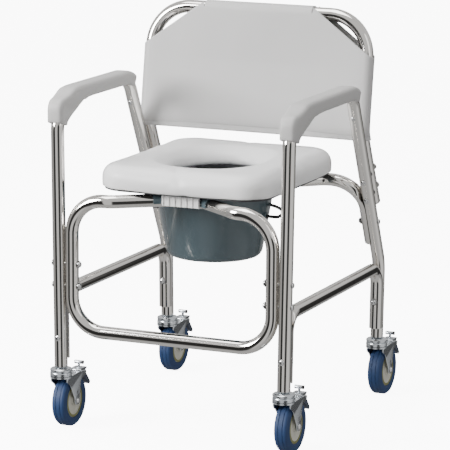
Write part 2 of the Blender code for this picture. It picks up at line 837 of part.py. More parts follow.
def build_fork(corner, swivel, looks):
    """A crown plate with two blades that trail back to the axle and carry the brake's pin."""
    plan = []
    for i in range(9):
        angle = pi + pi * i / 8
        plan.append((CUP_R * cos(angle), CUP_R * sin(angle)))
    plan += [(CROWN_BACK_HALF, CROWN_BACK_Y), (-CROWN_BACK_HALF, CROWN_BACK_Y)]
    crown = loft([[(x, y, z) for x, y in plan] for z in (CROWN_Z, CROWN_Z + CROWN_THICK)])
    fork = make_object("caster_fork_" + corner, crown, looks["zinc"], swivel)
    for side, sign in SIDES:
        blade = extruded(FORK_BLADE, FORK_THICK / 2, sign * (FORK_IN + FORK_THICK / 2))
        tool = make_object(f"blade_{corner}_{side}", blade, None, swivel)
        combine(fork, tool, "UNION")
    ends = [(AXLE_R + GAP, -0.03), (AXLE_R + GAP, 0.03)]
    hole = turned(ends, BOLT_SIDES, axis="X")
    place = (0, TRAIL, WHEEL_R)
    combine(fork, make_object("axle_hole_" + corner, hole, None, swivel, place))


def build_wheel(corner, swivel, looks):
    """Axle, hub and tyre, whose rims have a flat facing the floor."""
    place = (0, TRAIL, WHEEL_R)
    outside = FORK_IN + FORK_THICK + GAP
    profile = [
        (0.0035, -outside - 0.0041),
        (0.0062, -outside - 0.0031),
        (0.0062, -outside),
        (AXLE_R, -outside),
    ]
    axle = turned(both_ways(profile), BOLT_SIDES, axis="X")
    make_object("caster_axle_" + corner, axle, looks["bolt"], swivel, place)
    phase = pi / WHEEL_SIDES
    profile = [
        (AXLE_R + 0.0006, -HUB_HALF),
        (0.0120, -HUB_HALF),
        (HUB_R - 0.0060, -HUB_HALF + 0.0030),
        (HUB_R, -HUB_HALF + 0.0015),
    ]
    hub = turned(both_ways(profile), WHEEL_SIDES, axis="X", closed=True, phase=phase)
    make_object("wheel_hub_" + corner, hub, looks["hub"], swivel, place)
    round_up = 1 / cos(phase)
    profile = [
        (HUB_R + GAP, -HUB_HALF),
        (SHOULDER_R * round_up, -TYRE_HALF),
        (WHEEL_R * round_up, -TREAD_HALF),
    ]
    tyre = turned(both_ways(profile), WHEEL_SIDES, axis="X", closed=True, phase=phase)
    make_object("wheel_tyre_" + corner, tyre, looks["tyre"], swivel, place)


def build_brake(corner, swivel, looks):
    """A foot lever on a cross pin, a wing above to release and a pedal below, and its screw."""
    pivot = make_empty("brake_pivot_" + corner, (0, PIVOT_Y, PIVOT_Z), swivel)
    outline = [(y - PIVOT_Y, z - PIVOT_Z) for y, z in LEVER]
    lever = make_object(
        "brake_lever_" + corner, extruded(outline, LEVER_HALF), looks["pedal"], pivot
    )
    pin = turned([(PIN_R, -PIN_HALF), (PIN_R, PIN_HALF)], BOLT_SIDES, axis="X")
    combine(lever, make_object("brake_pin_" + corner, pin, None, pivot), "UNION")
    place = (0, SCREW_Y - PIVOT_Y, SCREW_Z - PIVOT_Z)
    ends = [(SCREW_HEAD_R, -SCREW_HEAD_HALF), (SCREW_HEAD_R, SCREW_HEAD_HALF)]
    head = turned(ends, BOLT_SIDES, axis="X")
    screw = make_object("brake_screw_" + corner, head, looks["zinc"], pivot, place)
    shank = turned([(SCREW_R, -SCREW_DROP), (SCREW_R, 0.001)], BOLT_SIDES)
    combine(screw, make_object("screw_shank_" + corner, shank, None, pivot, place), "UNION")


def build_casters(root, looks):
    for end, y in (("front", 0), ("rear", DEPTH)):
        for side, sign in SIDES:
            corner = f"{end}_{side}"
            foot = (sign * leg_x(FOOT_Z), y, 0)
            swivel = make_empty("swivel_" + corner, foot, root)
            build_stem(corner, foot, root, looks)
            build_cup(corner, swivel, looks)
            build_fork(corner, swivel, looks)
            build_wheel(corner, swivel, looks)
            build_brake(corner, swivel, looks)


# ---------------------------------------------------------------- the whole chair


def make_looks():
    return {
        "tube": make_material("polished_aluminium", (0.78, 0.77, 0.75), 0.18, 1.0),
        "bolt": make_material("bright_steel", (0.62, 0.62, 0.62), 0.25, 1.0),
        "zinc": make_material("zinc_plate", (0.60, 0.63, 0.65), 0.32, 1.0),
        "vinyl": make_material("grey_vinyl", (0.62, 0.61, 0.60), 0.55),
        "seat": make_material("seat_grey", (0.66, 0.65, 0.64), 0.45),
        "clip": make_material("clip_grey", (0.60, 0.60, 0.59), 0.45),
        "pad": make_material("pad_grey", (0.55, 0.54, 0.53), 0.50),
        "pail": make_material("slate_plastic", (0.05, 0.08, 0.10), 0.22),
        "black": make_material("black_plastic", (0.02, 0.02, 0.02), 0.40),
        "hub": make_material("hub_grey", (0.55, 0.53, 0.48), 0.45),
        "tyre": make_material("blue_rubber", (0.02, 0.07, 0.20), 0.45),
        "pedal": make_material("pedal_navy", (0.03, 0.06, 0.12), 0.40),
    }


def build_chair():
    clear_scene()
    looks = make_looks()
    root = make_empty("chair", (0, -ORIGIN_Y, 0))
    build_frame(root, looks)
    build_back_plugs(root, looks)
    build_sleeve(root, looks)
    build_arm_pads(root, looks)
    build_seat(make_empty("seat", (0, 0, 0), root), looks)
    build_pail(root, looks)
    build_pail_handle(root, looks)
    build_casters(root, looks)


build_chair()
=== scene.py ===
"""The look of the wheeled commode chair: fine surfaces, materials, light and camera.

Heights are measured from the floor and depths from the front legs' plane, in metres. Every piece
is moved back by ORIGIN_Y into the part's own frame as it is made.
"""

from math import asin, atan2, copysign, cos, hypot, pi, radians, sin, sqrt, tan

import bmesh
import bpy
from mathutils import Matrix, Vector, noise

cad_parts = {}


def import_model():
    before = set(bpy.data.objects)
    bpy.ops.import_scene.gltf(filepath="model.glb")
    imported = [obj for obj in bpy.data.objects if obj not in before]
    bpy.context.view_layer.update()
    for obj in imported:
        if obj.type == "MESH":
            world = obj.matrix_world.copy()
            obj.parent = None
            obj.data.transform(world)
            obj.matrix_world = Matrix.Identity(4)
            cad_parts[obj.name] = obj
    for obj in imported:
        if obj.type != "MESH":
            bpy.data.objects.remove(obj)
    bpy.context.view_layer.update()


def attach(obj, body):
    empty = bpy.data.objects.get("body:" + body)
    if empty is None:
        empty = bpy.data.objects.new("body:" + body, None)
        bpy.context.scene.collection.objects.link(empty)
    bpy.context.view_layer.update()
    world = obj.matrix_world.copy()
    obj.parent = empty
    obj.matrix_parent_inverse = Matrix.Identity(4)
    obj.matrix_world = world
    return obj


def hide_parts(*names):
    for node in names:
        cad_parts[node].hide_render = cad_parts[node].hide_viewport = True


# Tube stock and clearances
TUBE_R = 0.0127
WALL = 0.0016
BORE_R = TUBE_R - WALL
GAP = 0.0004
TUBE_SIDES = 40
BEND_STEP = radians(5.135)

# Side frames: front leg, armrest and raked rear leg are one bent tube on each side
FOOT_HALF = 0.2297  # leg axis to the middle, at the foot
SPLAY = 0.0124  # the frames lean outwards by this much for each metre of height
FOOT_Z = 0.125
ARM_Z = 0.640
DEPTH = 0.485
RAKE = 0.4855  # the rear leg runs this far back for each metre that it drops
RAKE_TOP_Y = 0.3083
SQUARE_TO_RAKE = (0, 1, RAKE)
FRONT_BEND_R = 0.065
ARM_REAR_BEND_R = 0.050
LEG_BEND_R = 0.090

# Front frame: a loop of tube between the front legs, the middle of its top bar set back
LOOP_HALF = 0.2053
LOOP_BOTTOM_Z = 0.198
BAR_Z = 0.4505
LOOP_CORNER_R = 0.065
FRONT_KNEE_OUT = 0.127
FRONT_KNEE_IN = 0.036
FRONT_BAR_Y = 0.068
FRONT_KNEE_R = 0.038
SEAM = 0.00006

# Rear support: an upturned U bolted inside the rear legs, the middle of its bar set forward
REAR_BAR_Y = 0.330
REAR_CORNER_R = 0.062
REAR_KNEE_OUT = 0.148
REAR_KNEE_IN = 0.072
REAR_KNEE_R = 0.030
REAR_END_Z = 0.322

# Side rails, whose saddle ends clasp the legs
RAIL_Z = 0.267
RAIL_BEND_R = 0.034
RAIL_FRONT_END_Z = 0.139
RAIL_REAR_END_Z = 0.144
SADDLE_OFFSET = 0.0096  # from the leg's axis to the saddle's own
SADDLE_CLEAR = 0.0007

# Backrest tube and the sleeve stretched over it
BACK_HALF = 0.229
BACK_BEHIND = 0.0345
BACK_END_Z = 0.405
BACK_KNEE_Z = 0.551
BACK_KNEE_SOFT = 0.0025
BACK_LEVELS = (0.505, 0.535, 0.551, 0.567, 0.590)
BACK_TILT = 0.150
BACK_TOP_Z = 0.7725
BACK_CORNER_R = 0.080
SLEEVE_R = TUBE_R + 0.0014  # inside face, round the tube's axis
SLEEVE_FLARE = 0.060  # extra half depth for each metre below the knee
SLEEVE_SHOULDER_Z = 0.695
SLEEVE_TOP_HALF = 0.115
SLEEVE_LOW_Z = 0.535
SLEEVE_SAG = 0.0060
SHEET_THICK = 0.0009
SLEEVE_SIDES = 360
SLEEVE_ROWS = 72
HEM_SIDES = 240
ROLL_STEPS = 10

# Arm pads (outline points are depth and height)
PAD_HALF = 0.0200
PAD_BOOT_HALF = 0.0158
PAD_RISE = 0.0165
PAD_THIN = 0.0147
PAD_WEB_MOST = 0.0340
PAD_POINTS = 48
PAD_SQUARENESS = 0.46
PAD_BEND_END_Y = 0.100
PAD_WIDE_FROM_Y = 0.040
PAD_OUTSIDE = (
    (-PAD_BOOT_HALF, 0.560),
    (-PAD_BOOT_HALF, 0.626),
    (-0.006, 0.6385),
    (0.012, 0.6415),
    (0.045, 0.6545),
    (0.068, ARM_Z + PAD_RISE),
    (0.200, ARM_Z + PAD_RISE),
)
PAD_WEB = (
    (PAD_BOOT_HALF, 0.560),
    (PAD_BOOT_HALF, 0.591),
    (0.079, ARM_Z - PAD_THIN),
    (0.200, ARM_Z - PAD_THIN),
)
PAD_OPEN_FROM_Y = 0.082
PAD_OPEN_OVER = 0.020
PAD_OPEN_LOW = 0.0088
PAD_CLEAR = 0.0005
PAD_LIP = 0.001
PAD_LIPS = ((0.90, 0.0016), (0.97, 0.0010))  # (share of the end ring's size, how far past it)
PAD_STRAIGHT_FROM_Y = 0.0805
PAD_STRAIGHT_TO_Y = 0.2590
PAD_STRAIGHT_STEP = 0.0105
PAD_FIRST = 4  # counted along the side frame's path: where a pad starts on the front bend
PAD_BEND_END = 20  # where the rear bend starts
PAD_LAST = 27  # where the pad has ended

# Seat: a rigid base under a moulded cushion, with a dished oval opening
SEAT_HALF = 0.176
SEAT_FRONT_Y = 0.018
SEAT_BACK_Y = 0.418
SEAT_CORNER_R = 0.062
SEAT_BOTTOM_Z = 0.4640
SEAT_SPLIT_Z = 0.4750
SEAT_TOP_Z = 0.5150
SEAT_EDGE_R = 0.026
SEAT_POINTS = 128
SEAT_ANGLES = [2 * pi * (i + 0.5) / SEAT_POINTS for i in range(SEAT_POINTS)]
HOLE_Y = 0.208
HOLE_A = 0.082
HOLE_B = 0.104
DISH_A = 0.108
DISH_B = 0.132
DISH_DEPTH = 0.024
RECESS_R = 0.146
RECESS_TOP_Z = 0.4702
CLIP_HALF = 0.0385
CLIP_Y = 0.0415
CLIP_THICK = 0.0030
CLIP_LOW_Z = 0.4440
CLIP_FLANGE_Y = 0.0300
CROWN_ROOM = 0.0030  # left for the cushion to swell
SKIRT_INSET = 0.0060
BOARD_INSET = 0.0068
BOARD_UNDER_INSET = 0.0200
BOARD_NECK_Z = SEAT_TOP_Z - DISH_DEPTH - 0.0110
SWELL_VOXEL = 0.0045
SWELL_PRESSURE = 4.0
SWELL_STIFFNESS = 40.0
SWELL_FRAMES = 20

# Pail, its rim resting on both bars and its front lip hooked over the front one
PAIL_Y = 0.200
PAIL_TOP_R = 0.1160
PAIL_BOTTOM_R = 0.0920
PAIL_BOTTOM_Z = 0.3250
PAIL_WALL = 0.0022
PAIL_SIDES = 96
RIM_R = 0.1350
RIM_Z = BAR_Z + TUBE_R + GAP
RIM_THICK = 0.0032
LIP_HALF = 0.062
LIP_BORE_R = 0.0138
LIP_R = 0.0160
LIP_ANGLES = (-20, 10, 40, 70, 105)  # from straight up, round to the front and below
BAIL_PIVOT_Z = 0.4080
BAIL_R = 0.1310
BAIL_WIRE_R = 0.0032
BAIL_END = 0.1075

# Casters
WHEEL_R = 0.050
WHEEL_SIDES = 72
TRAIL = 0.033
TYRE_HALF = 0.0140
TREAD_HALF = 0.0095
SHOULDER_R = 0.0465
HUB_R = 0.0325
HUB_HALF = 0.0125
AXLE_R = 0.0040
FORK_IN = 0.0155
FORK_THICK = 0.0025
CROWN_Z = 0.1022
CROWN_THICK = 0.0030
CROWN_BACK_Y = 0.046
CROWN_BACK_HALF = 0.0185
CUP_R = 0.0215
CUP_BORE_R = 0.0062
CUP_TOP_Z = 0.1215
STEM_R = 0.0055
SOCKET_R = 0.0095
PIVOT_Y = 0.067
PIVOT_Z = 0.0990
PIN_R = 0.0026
PIN_HALF = 0.0151
PEDAL_Y = 0.1040
LEVER_HALF = 0.0110
SCREW_Y = 0.076
SCREW_Z = 0.1150
SCREW_R = 0.0025
SCREW_DROP = 0.0089
SCREW_HEAD_R = 0.0036
SCREW_HEAD_HALF = 0.0095
AXLE_END = (
    (0.0006, 0.0041),
    (0.0034, 0.0037),
    (0.0050, 0.0028),
    (0.0054, 0.0012),
    (0.0068, 0.0010),
    (0.0068, 0.0),
    (AXLE_R, 0.0),
)
FORK_BLADE = (
    (-0.0100, 0.1040),
    (0.0710, 0.1040),
    (0.0735, 0.0990),
    (0.0700, 0.0940),
    (0.0500, 0.0905),
    (0.0430, 0.0600),
    (0.0415, 0.0455),
    (0.0330, 0.0410),
    (0.0245, 0.0455),
    (0.0235, 0.0560),
    (0.0040, 0.0860),
    (-0.0100, 0.0940),
)
BRAKE_WING = (
    (0.0600, 0.1035),
    (0.0680, 0.1060),
    (0.0885, 0.1050),
    (0.0893, 0.1018),
    (0.0805, 0.0990),
    (0.0600, 0.0985),
)
BRAKE_PEDAL = (
    (0.0600, 0.0985),
    (0.0805, 0.0988),
    (0.0905, 0.0885),
    (PEDAL_Y, 0.0715),
    (0.1005, 0.0665),
    (0.0865, 0.0745),
    (0.0765, 0.0845),
    (0.0672, 0.0925),
    (0.0600, 0.0965),
)

# Bolts
BOLT_R = 0.0030
BOLT_SIDES = 24
HEAD_R = 0.0056
HEAD_THICK = 0.0030
NUT_THICK = 0.0060
LOOP_BOLT_Z = (0.325, 0.283)
FRONT_RAIL_BOLT_Z = 0.181
REAR_RAIL_BOLT_Z = 0.199
SUPPORT_BOLT_Z = 0.366

# The chair's box runs from the front casters' cups to the rear casters' pedals
ORIGIN_Y = (DEPTH + PEDAL_Y - CUP_R) / 2

# Fittings between the raked legs and the backrest tube
BACK_BOLT_Z = (0.457, 0.418)
BACK_LEAN = 0.8996  # share of a depth between the raked tubes that lies square to them
SPACER_R = 0.0075
SPACER_SINK = 0.001
ARM_SCREW_Z = 0.592
ARM_SCREW = ((0.0046, -0.0005), (0.0046, 0.0005), (0.0040, 0.0014), (0.0024, 0.0022), (0.0004, 0.0024))

# Camera
CAMERA_AZIMUTH = 23.5518
CAMERA_ELEVATION = 11.189
CAMERA_ROLL = 0.3776
CAMERA_DISTANCE = 5.6318
CAMERA_LENS = 234.49
CAMERA_SHIFT_X = 0.0202
CAMERA_AIM_Y = 0.2
CAMERA_AIM_Z = 0.3819

# Light: bands are (position round the horizon, grey); levels are (height from straight down, grey,
# share of the bands seen at that height)
WORLD_BANDS = (
    (0.000, 0.55),
    (0.100, 0.55),
    (0.115, 0.04),
    (0.200, 0.04),
    (0.215, 1.00),
    (0.305, 1.00),
    (0.325, 0.06),
    (0.400, 0.06),
    (0.425, 1.10),
    (0.560, 1.10),
    (0.590, 0.45),
    (0.660, 0.45),
    (0.672, 0.04),
    (0.705, 0.04),
    (0.720, 0.50),
    (0.800, 0.55),
    (1.000, 0.55),
)
WORLD_LEVELS = (
    (0.00, 0.70, 0.0),
    (0.10, 0.70, 0.0),
    (0.22, 0.70, 1.0),
    (0.58, 1.00, 1.0),
    (0.64, 1.00, 0.0),
    (1.00, 1.00, 0.0),
)
WORLD_STRENGTH = 0.75
FLOOR_GLOW = 9.0
FLOOR_HALF = 40.0
LIGHTS = (  # name, place, what it points at, size, power
    ("key", (-0.5, -0.5, 3.2), (0, 0, 0.4), (1.8, 1.8), 60.0),
    ("front", (-2.4, -2.6, 1.8), (0, 0, 0.5), (1.6, 1.6), 250.0),
    ("fill", (3.0, -1.2, 2.0), (0, 0, 0.4), (1.6, 2.4), 12.0),
)

LOOKS = {  # surface name, colour, roughness, then metal, grain, grain scale and coat where not plain
    "tube": ("polished_aluminium", (0.80, 0.775, 0.74), 0.09, 1.0),
    "bolt": ("bright_steel", (0.66, 0.66, 0.66), 0.20, 1.0),
    "zinc": ("zinc_plate", (0.66, 0.69, 0.72), 0.24, 1.0),
    "vinyl": ("coated_vinyl", (0.47, 0.465, 0.46), 0.50, 0.0, 0.25, 900.0),
    "hem": ("coated_vinyl_hem", (0.54, 0.535, 0.53), 0.48, 0.0, 0.25, 900.0),
    "seam": ("sewn_thread", (0.40, 0.395, 0.39), 0.60),
    "seat": ("seat_skin", (0.80, 0.797, 0.795), 0.40, 0.0, 0.12, 600.0),
    # the seat base's near-black colour is painted shade: it stands for the shadow under the cushion's
    # lip, seen through the opening
    "painted_shade_board": ("seat_board_painted_shade", (0.020, 0.022, 0.024), 0.55),
    "clip": ("clip_plastic", (0.82, 0.81, 0.80), 0.42),
    "pad": ("pad_skin", (0.46, 0.452, 0.445), 0.48, 0.0, 0.20, 700.0),
    "pail": ("slate_plastic", (0.062, 0.090, 0.104), 0.20, 0.0, 0.0, 0.0, 0.3),
    "black": ("black_plastic", (0.015, 0.015, 0.016), 0.38),
    "hub": ("hub_plastic", (0.56, 0.55, 0.475), 0.42),
    "olive": ("bearing_olive", (0.20, 0.20, 0.08), 0.45),
    "tyre": ("blue_rubber", (0.010, 0.036, 0.112), 0.60, 0.0, 0.15, 900.0),
    "pedal": ("pedal_navy", (0.014, 0.026, 0.058), 0.36),
}

SIDES = (("left", -1), ("right", 1))
X_AXIS = Vector((1, 0, 0))
Y_AXIS = Vector((0, 1, 0))
Z_AXIS = Vector((0, 0, 1))


# ---------------------------------------------------------------- materials


def shader_of(material):
    return material.node_tree.nodes["Principled BSDF"]


def make_material(name, colour, roughness, metallic=0.0, grain=0.0, grain_scale=400.0, coat=0.0):
    """A plain surface with, if asked, a fine procedural grain in its relief."""
    made = bpy.data.materials.new(name)
    made.use_nodes = True
    shader = shader_of(made)
    shader.inputs["Base Color"].default_value = (*colour, 1)
    shader.inputs["Roughness"].default_value = roughness
    shader.inputs["Metallic"].default_value = metallic
    shader.inputs["Coat Weight"].default_value = coat
    if grain:
        tree = made.node_tree
        place = tree.nodes.new("ShaderNodeTexCoord")
        texture = tree.nodes.new("ShaderNodeTexNoise")
        texture.inputs["Scale"].default_value = grain_scale
        texture.inputs["Detail"].default_value = 3.0
        bump = tree.nodes.new("ShaderNodeBump")
        bump.inputs["Strength"].default_value = grain
        bump.inputs["Distance"].default_value = 0.0006
        tree.links.new(place.outputs["Object"], texture.inputs["Vector"])
        tree.links.new(texture.outputs["Fac"], bump.inputs["Height"])
        tree.links.new(bump.outputs["Normal"], shader.inputs["Normal"])
    return made


# ---------------------------------------------------------------- pieces


def show(name, bm, material, body, nodes=(), place=(0, 0, 0), along=None, sharp=40):
    """A finished piece that rides on a body and stands for the CAD nodes it is finer than."""
    bmesh.ops.recalc_face_normals(bm, faces=bm.faces)
    mesh = bpy.data.meshes.new(name)
    bm.to_mesh(mesh)
    bm.free()
    mesh.shade_smooth()
    if sharp:
        mesh.set_sharp_from_angle(angle=radians(sharp))
    made = bpy.data.objects.new(name, mesh)
    made.data.materials.append(material)
    bpy.context.scene.collection.objects.link(made)
    turn = Matrix.Identity(4)
    if along:
        turn = Z_AXIS.rotation_difference(Vector(along).normalized()).to_matrix().to_4x4()
    mesh.transform(Matrix.Translation(Vector(place) - Vector((0, ORIGIN_Y, 0))) @ turn)
    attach(made, body)
    if nodes:
        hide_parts(*nodes)
    return made


def apply_modifiers(made):
    """Swap a piece's mesh for what its modifiers make of it, and clear them."""
    graph = bpy.context.evaluated_depsgraph_get()
    graph.update()
    mesh = bpy.data.meshes.new_from_object(made.evaluated_get(graph))
    made.modifiers.clear()
    made.data = mesh
    return mesh


# ---------------------------------------------------------------- shape helpers


def loft(rings, closed=False, capped=True):
    """Skin a row of rings. A closed row joins its last ring to its first, an open one is capped."""
    bm = bmesh.new()
    rows = [[bm.verts.new(point) for point in ring] for ring in rings]
    pairs = list(zip(rows, rows[1:]))
    if closed:
        pairs.append((rows[-1], rows[0]))
    for low, high in pairs:
        count = len(low)
        for i in range(count):
            j = (i + 1) % count
            bm.faces.new((low[i], low[j], high[j], high[i]))
    if capped and not closed:
        bm.faces.new(list(reversed(rows[0])))
        bm.faces.new(rows[-1])
    return bm


def turned(profile, sides, axis="Z", closed=False):
    """Turn a profile of (radius, height) points about an axis."""
    rings = []
    for radius, height in profile:
        ring = []
        for i in range(sides):
            angle = 2 * pi * i / sides
            a = radius * cos(angle)
            b = radius * sin(angle)
            ring.append((a, b, height) if axis == "Z" else (height, a, b))
        rings.append(ring)
    return loft(rings, closed)


def extruded(outline, half, middle=0.0):
    """A flat outline of (y, z) points given thickness along X, to both sides of a middle."""
    return loft([[(x, y, z) for y, z in outline] for x in (middle - half, middle + half)])


def filleted(points, radii):
    """A path through the points with each inner corner rounded to its radius."""
    path = [Vector(points[0])]
    for before, corner, after, radius in zip(points, points[1:], points[2:], radii):
        corner = Vector(corner)
        towards = (Vector(before) - corner).normalized()
        away = (Vector(after) - corner).normalized()
        turn = pi - towards.angle(away)
        start = corner + towards * radius * tan(turn / 2)
        centre = corner + (towards + away).normalized() * radius / cos(turn / 2)
        out = (start - centre).normalized()
        count = max(2, round(turn / BEND_STEP))
        for i in range(count + 1):
            angle = turn * i / count
            path.append(centre + radius * (cos(angle) * out - sin(angle) * towards))
    path.append(Vector(points[-1]))
    return path


def frames_along(path, across):
    """At each point of a path: the point and two directions square to the path."""
    frames = []
    for i, point in enumerate(path):
        ahead = (path[min(i + 1, len(path) - 1)] - point).normalized()
        behind = (point - path[max(i - 1, 0)]).normalized()
        along = (ahead + behind).normalized()
        side = (across - across.dot(along) * along).normalized()
        frames.append((point, side, along.cross(side)))
    return frames


def circle(radius, sides=TUBE_SIDES):
    return [(radius * cos(2 * pi * i / sides), radius * sin(2 * pi * i / sides)) for i in range(sides)]


def rings_along(path, across, sections):
    """One ring for each point of a path, each from its own section."""
    rings = []
    for (point, side, other), section in zip(frames_along(path, across), sections):
        rings.append([point + side * a + other * b for a, b in section])
    return rings


def hollow(outer, inner):
    """A wall between an outer and an inner row of rings, open at both ends."""
    return loft(outer + list(reversed(inner)), closed=True)


def bent_tube(path, across):
    outer = rings_along(path, across, [circle(TUBE_R)] * len(path))
    inner = rings_along(path, across, [circle(BORE_R)] * len(path))
    return hollow(outer, inner)


def saddle(radius, hug):
    """Section of a tube pressed onto a leg: its far half stays round, its near half hugs the leg.

    The section is centred on the tube's own axis, and the leg lies SADDLE_OFFSET away along -b.
    """
    meet_b = (hug**2 - radius**2 + SADDLE_OFFSET**2) / (2 * SADDLE_OFFSET)
    meet_a = sqrt(hug**2 - meet_b**2)
    round_from = atan2(meet_b - SADDLE_OFFSET, meet_a)
    hug_half = asin(meet_a / hug)
    half = TUBE_SIDES // 2
    points = []
    for i in range(half + 1):
        angle = round_from + (pi - 2 * round_from) * i / half
        points.append((radius * cos(angle), radius * sin(angle)))
    for i in range(1, half):
        angle = pi / 2 + hug_half - 2 * hug_half * i / half
        points.append((hug * cos(angle), hug * sin(angle) - SADDLE_OFFSET))
    return points


def blend(section, other, share):
    """A section part of the way from one to another with as many points."""
    return [
        (a + (c - a) * share, b + (d - b) * share) for (a, b), (c, d) in zip(section, other)
    ]


def tube_with_saddles(path, across, distances):
    """A tube whose section turns into a saddle wherever its axis comes close to a leg's axis."""
    far = 2 * TUBE_R + GAP
    hug = TUBE_R + SADDLE_CLEAR
    outer_sections = []
    inner_sections = []
    for distance in distances:
        share = min(max((far - distance) / (far - SADDLE_OFFSET), 0.0), 1.0)
        outer_sections.append(blend(circle(TUBE_R), saddle(TUBE_R, hug), share))
        inner_sections.append(blend(circle(BORE_R), saddle(BORE_R, hug + WALL), share))
    outer = rings_along(path, across, outer_sections)
    inner = rings_along(path, across, inner_sections)
    return hollow(outer, inner)


def mirrored(path):
    """The same path on the other side of the chair, run the other way."""
    return [Vector((-p.x, p.y, p.z)) for p in reversed(path)]


# ---------------------------------------------------------------- lines of the frame


def leg_x(z):
    """Distance of the side frames' plane from the middle, at a height."""
    return FOOT_HALF + (z - FOOT_Z) * SPLAY


def rake_y(z):
    """Depth of the raked rear leg's axis at a height."""
    return RAKE_TOP_Y + (ARM_Z - z) * RAKE


def back_y(z):
    """Depth of the backrest tube's axis at a height: along the rear leg, then nearly upright."""
    low = rake_y(z) + BACK_BEHIND
    high = rake_y(BACK_KNEE_Z) + BACK_BEHIND + (z - BACK_KNEE_Z) * BACK_TILT
    return (low + high) / 2 + hypot((low - high) / 2, BACK_KNEE_SOFT)


def side_point(sign, y, z):
    """A point on a side frame's plane."""
    return Vector((sign * leg_x(z), y, z))


def side_frame_path(sign):
    """From the front foot up, along the armrest and down the raked leg to the rear foot."""
    knee_z = ARM_Z - (DEPTH - RAKE_TOP_Y) / RAKE
    corners = [(0, FOOT_Z), (0, ARM_Z), (RAKE_TOP_Y, ARM_Z), (DEPTH, knee_z), (DEPTH, FOOT_Z)]
    points = [side_point(sign, y, z) for y, z in corners]
    return filleted(points, (FRONT_BEND_R, ARM_REAR_BEND_R, LEG_BEND_R))


def front_loop_path():
    """From the seam in the middle of the lower bar, round the loop and back to the seam."""
    corners = [
        (SEAM / 2, 0, LOOP_BOTTOM_Z),
        (LOOP_HALF, 0, LOOP_BOTTOM_Z),
        (LOOP_HALF, 0, BAR_Z),
        (FRONT_KNEE_OUT, 0, BAR_Z),
        (FRONT_KNEE_IN, FRONT_BAR_Y, BAR_Z),
        (0, FRONT_BAR_Y, BAR_Z),
    ]
    radii = (LOOP_CORNER_R, LOOP_CORNER_R, FRONT_KNEE_R, FRONT_KNEE_R)
    right = filleted(corners, radii)[:-1]
    return right + mirrored(right)


def rear_support_path():
    """From the right saddle up the raked leg, across behind the pail and down on the left."""
    corners = [
        (leg_x(REAR_END_Z) - SADDLE_OFFSET, rake_y(REAR_END_Z), REAR_END_Z),
        (leg_x(BAR_Z) - SADDLE_OFFSET, rake_y(BAR_Z), BAR_Z),
        (REAR_KNEE_OUT, rake_y(BAR_Z), BAR_Z),
        (REAR_KNEE_IN, REAR_BAR_Y, BAR_Z),
        (0, REAR_BAR_Y, BAR_Z),
    ]
    right = filleted(corners, (REAR_CORNER_R, REAR_KNEE_R, REAR_KNEE_R))[:-1]
    return right + mirrored(right)


def rail_path(sign):
    """From the front leg's saddle up, back along the chair's side and down to the rear leg's."""
    front = SADDLE_OFFSET
    rear = DEPTH - SADDLE_OFFSET
    corners = [(front, RAIL_FRONT_END_Z), (front, RAIL_Z), (rear, RAIL_Z), (rear, RAIL_REAR_END_Z)]
    return filleted([side_point(sign, y, z) for y, z in corners], (RAIL_BEND_R, RAIL_BEND_R))


def backrest_path():
    """An upturned U from one lower end, over the top and down to the other."""
    lower = [Vector((BACK_HALF, back_y(z), z)) for z in (BACK_END_Z, *BACK_LEVELS)]
    corner = Vector((BACK_HALF, back_y(BACK_TOP_Z), BACK_TOP_Z))
    middle = Vector((0, back_y(BACK_TOP_Z), BACK_TOP_Z))
    right = lower[:-1] + filleted([lower[-1], corner, middle], (BACK_CORNER_R,))[:-1]
    return right + mirrored(right)


# ---------------------------------------------------------------- sections of the pads and seat


def reach(origin, direction, outline):
    """Distance from a point along a direction to an outline of depth and height points."""
    best = 1.0
    for (y0, z0), (y1, z1) in zip(outline, outline[1:]):
        ey = y1 - y0
        ez = z1 - z0
        oy = y0 - origin.y
        oz = z0 - origin.z
        cross = direction.y * ez - direction.z * ey
        if abs(cross) < 1e-9:
            continue
        along = (oy * ez - oz * ey) / cross
        share = (oy * direction.z - oz * direction.y) / cross
        if along > 0 and 0 <= share <= 1:
            best = min(best, along)
    return best


def pad_ring(point, side, other):
    """Section of an arm pad: a boxy oval, taller over the front bend where the pad is a corner."""
    half = PAD_HALF
    rise = PAD_RISE
    drop = PAD_THIN
    if point.y < PAD_BEND_END_Y:
        rise = max(reach(point, -other, PAD_OUTSIDE), PAD_THIN)
        drop = min(max(reach(point, other, PAD_WEB), PAD_THIN), PAD_WEB_MOST)
        half = PAD_BOOT_HALF + (PAD_HALF - PAD_BOOT_HALF) * min(point.y / PAD_WIDE_FROM_Y, 1)
    ring = []
    for ca, sa in circle(1, PAD_POINTS):
        a = half * copysign(abs(ca) ** PAD_SQUARENESS, ca)
        b = abs(sa) ** PAD_SQUARENESS * (-rise if sa < 0 else drop)
        ring.append(point + side * a + other * b)
    return ring


def seat_outline(inset, z):
    """The seat's rounded rectangle, drawn in by an inset."""
    radius = SEAT_CORNER_R - inset
    wide = SEAT_HALF - SEAT_CORNER_R
    deep = (SEAT_BACK_Y - SEAT_FRONT_Y) / 2 - SEAT_CORNER_R
    middle = (SEAT_BACK_Y + SEAT_FRONT_Y) / 2
    ring = []
    for angle in SEAT_ANGLES:
        x = copysign(wide, cos(angle)) + radius * cos(angle)
        y = middle + copysign(deep, sin(angle)) + radius * sin(angle)
        ring.append((x, y, z))
    return ring


def oval(a, b, middle, z):
    return [(a * cos(angle), middle + b * sin(angle), z) for angle in SEAT_ANGLES]


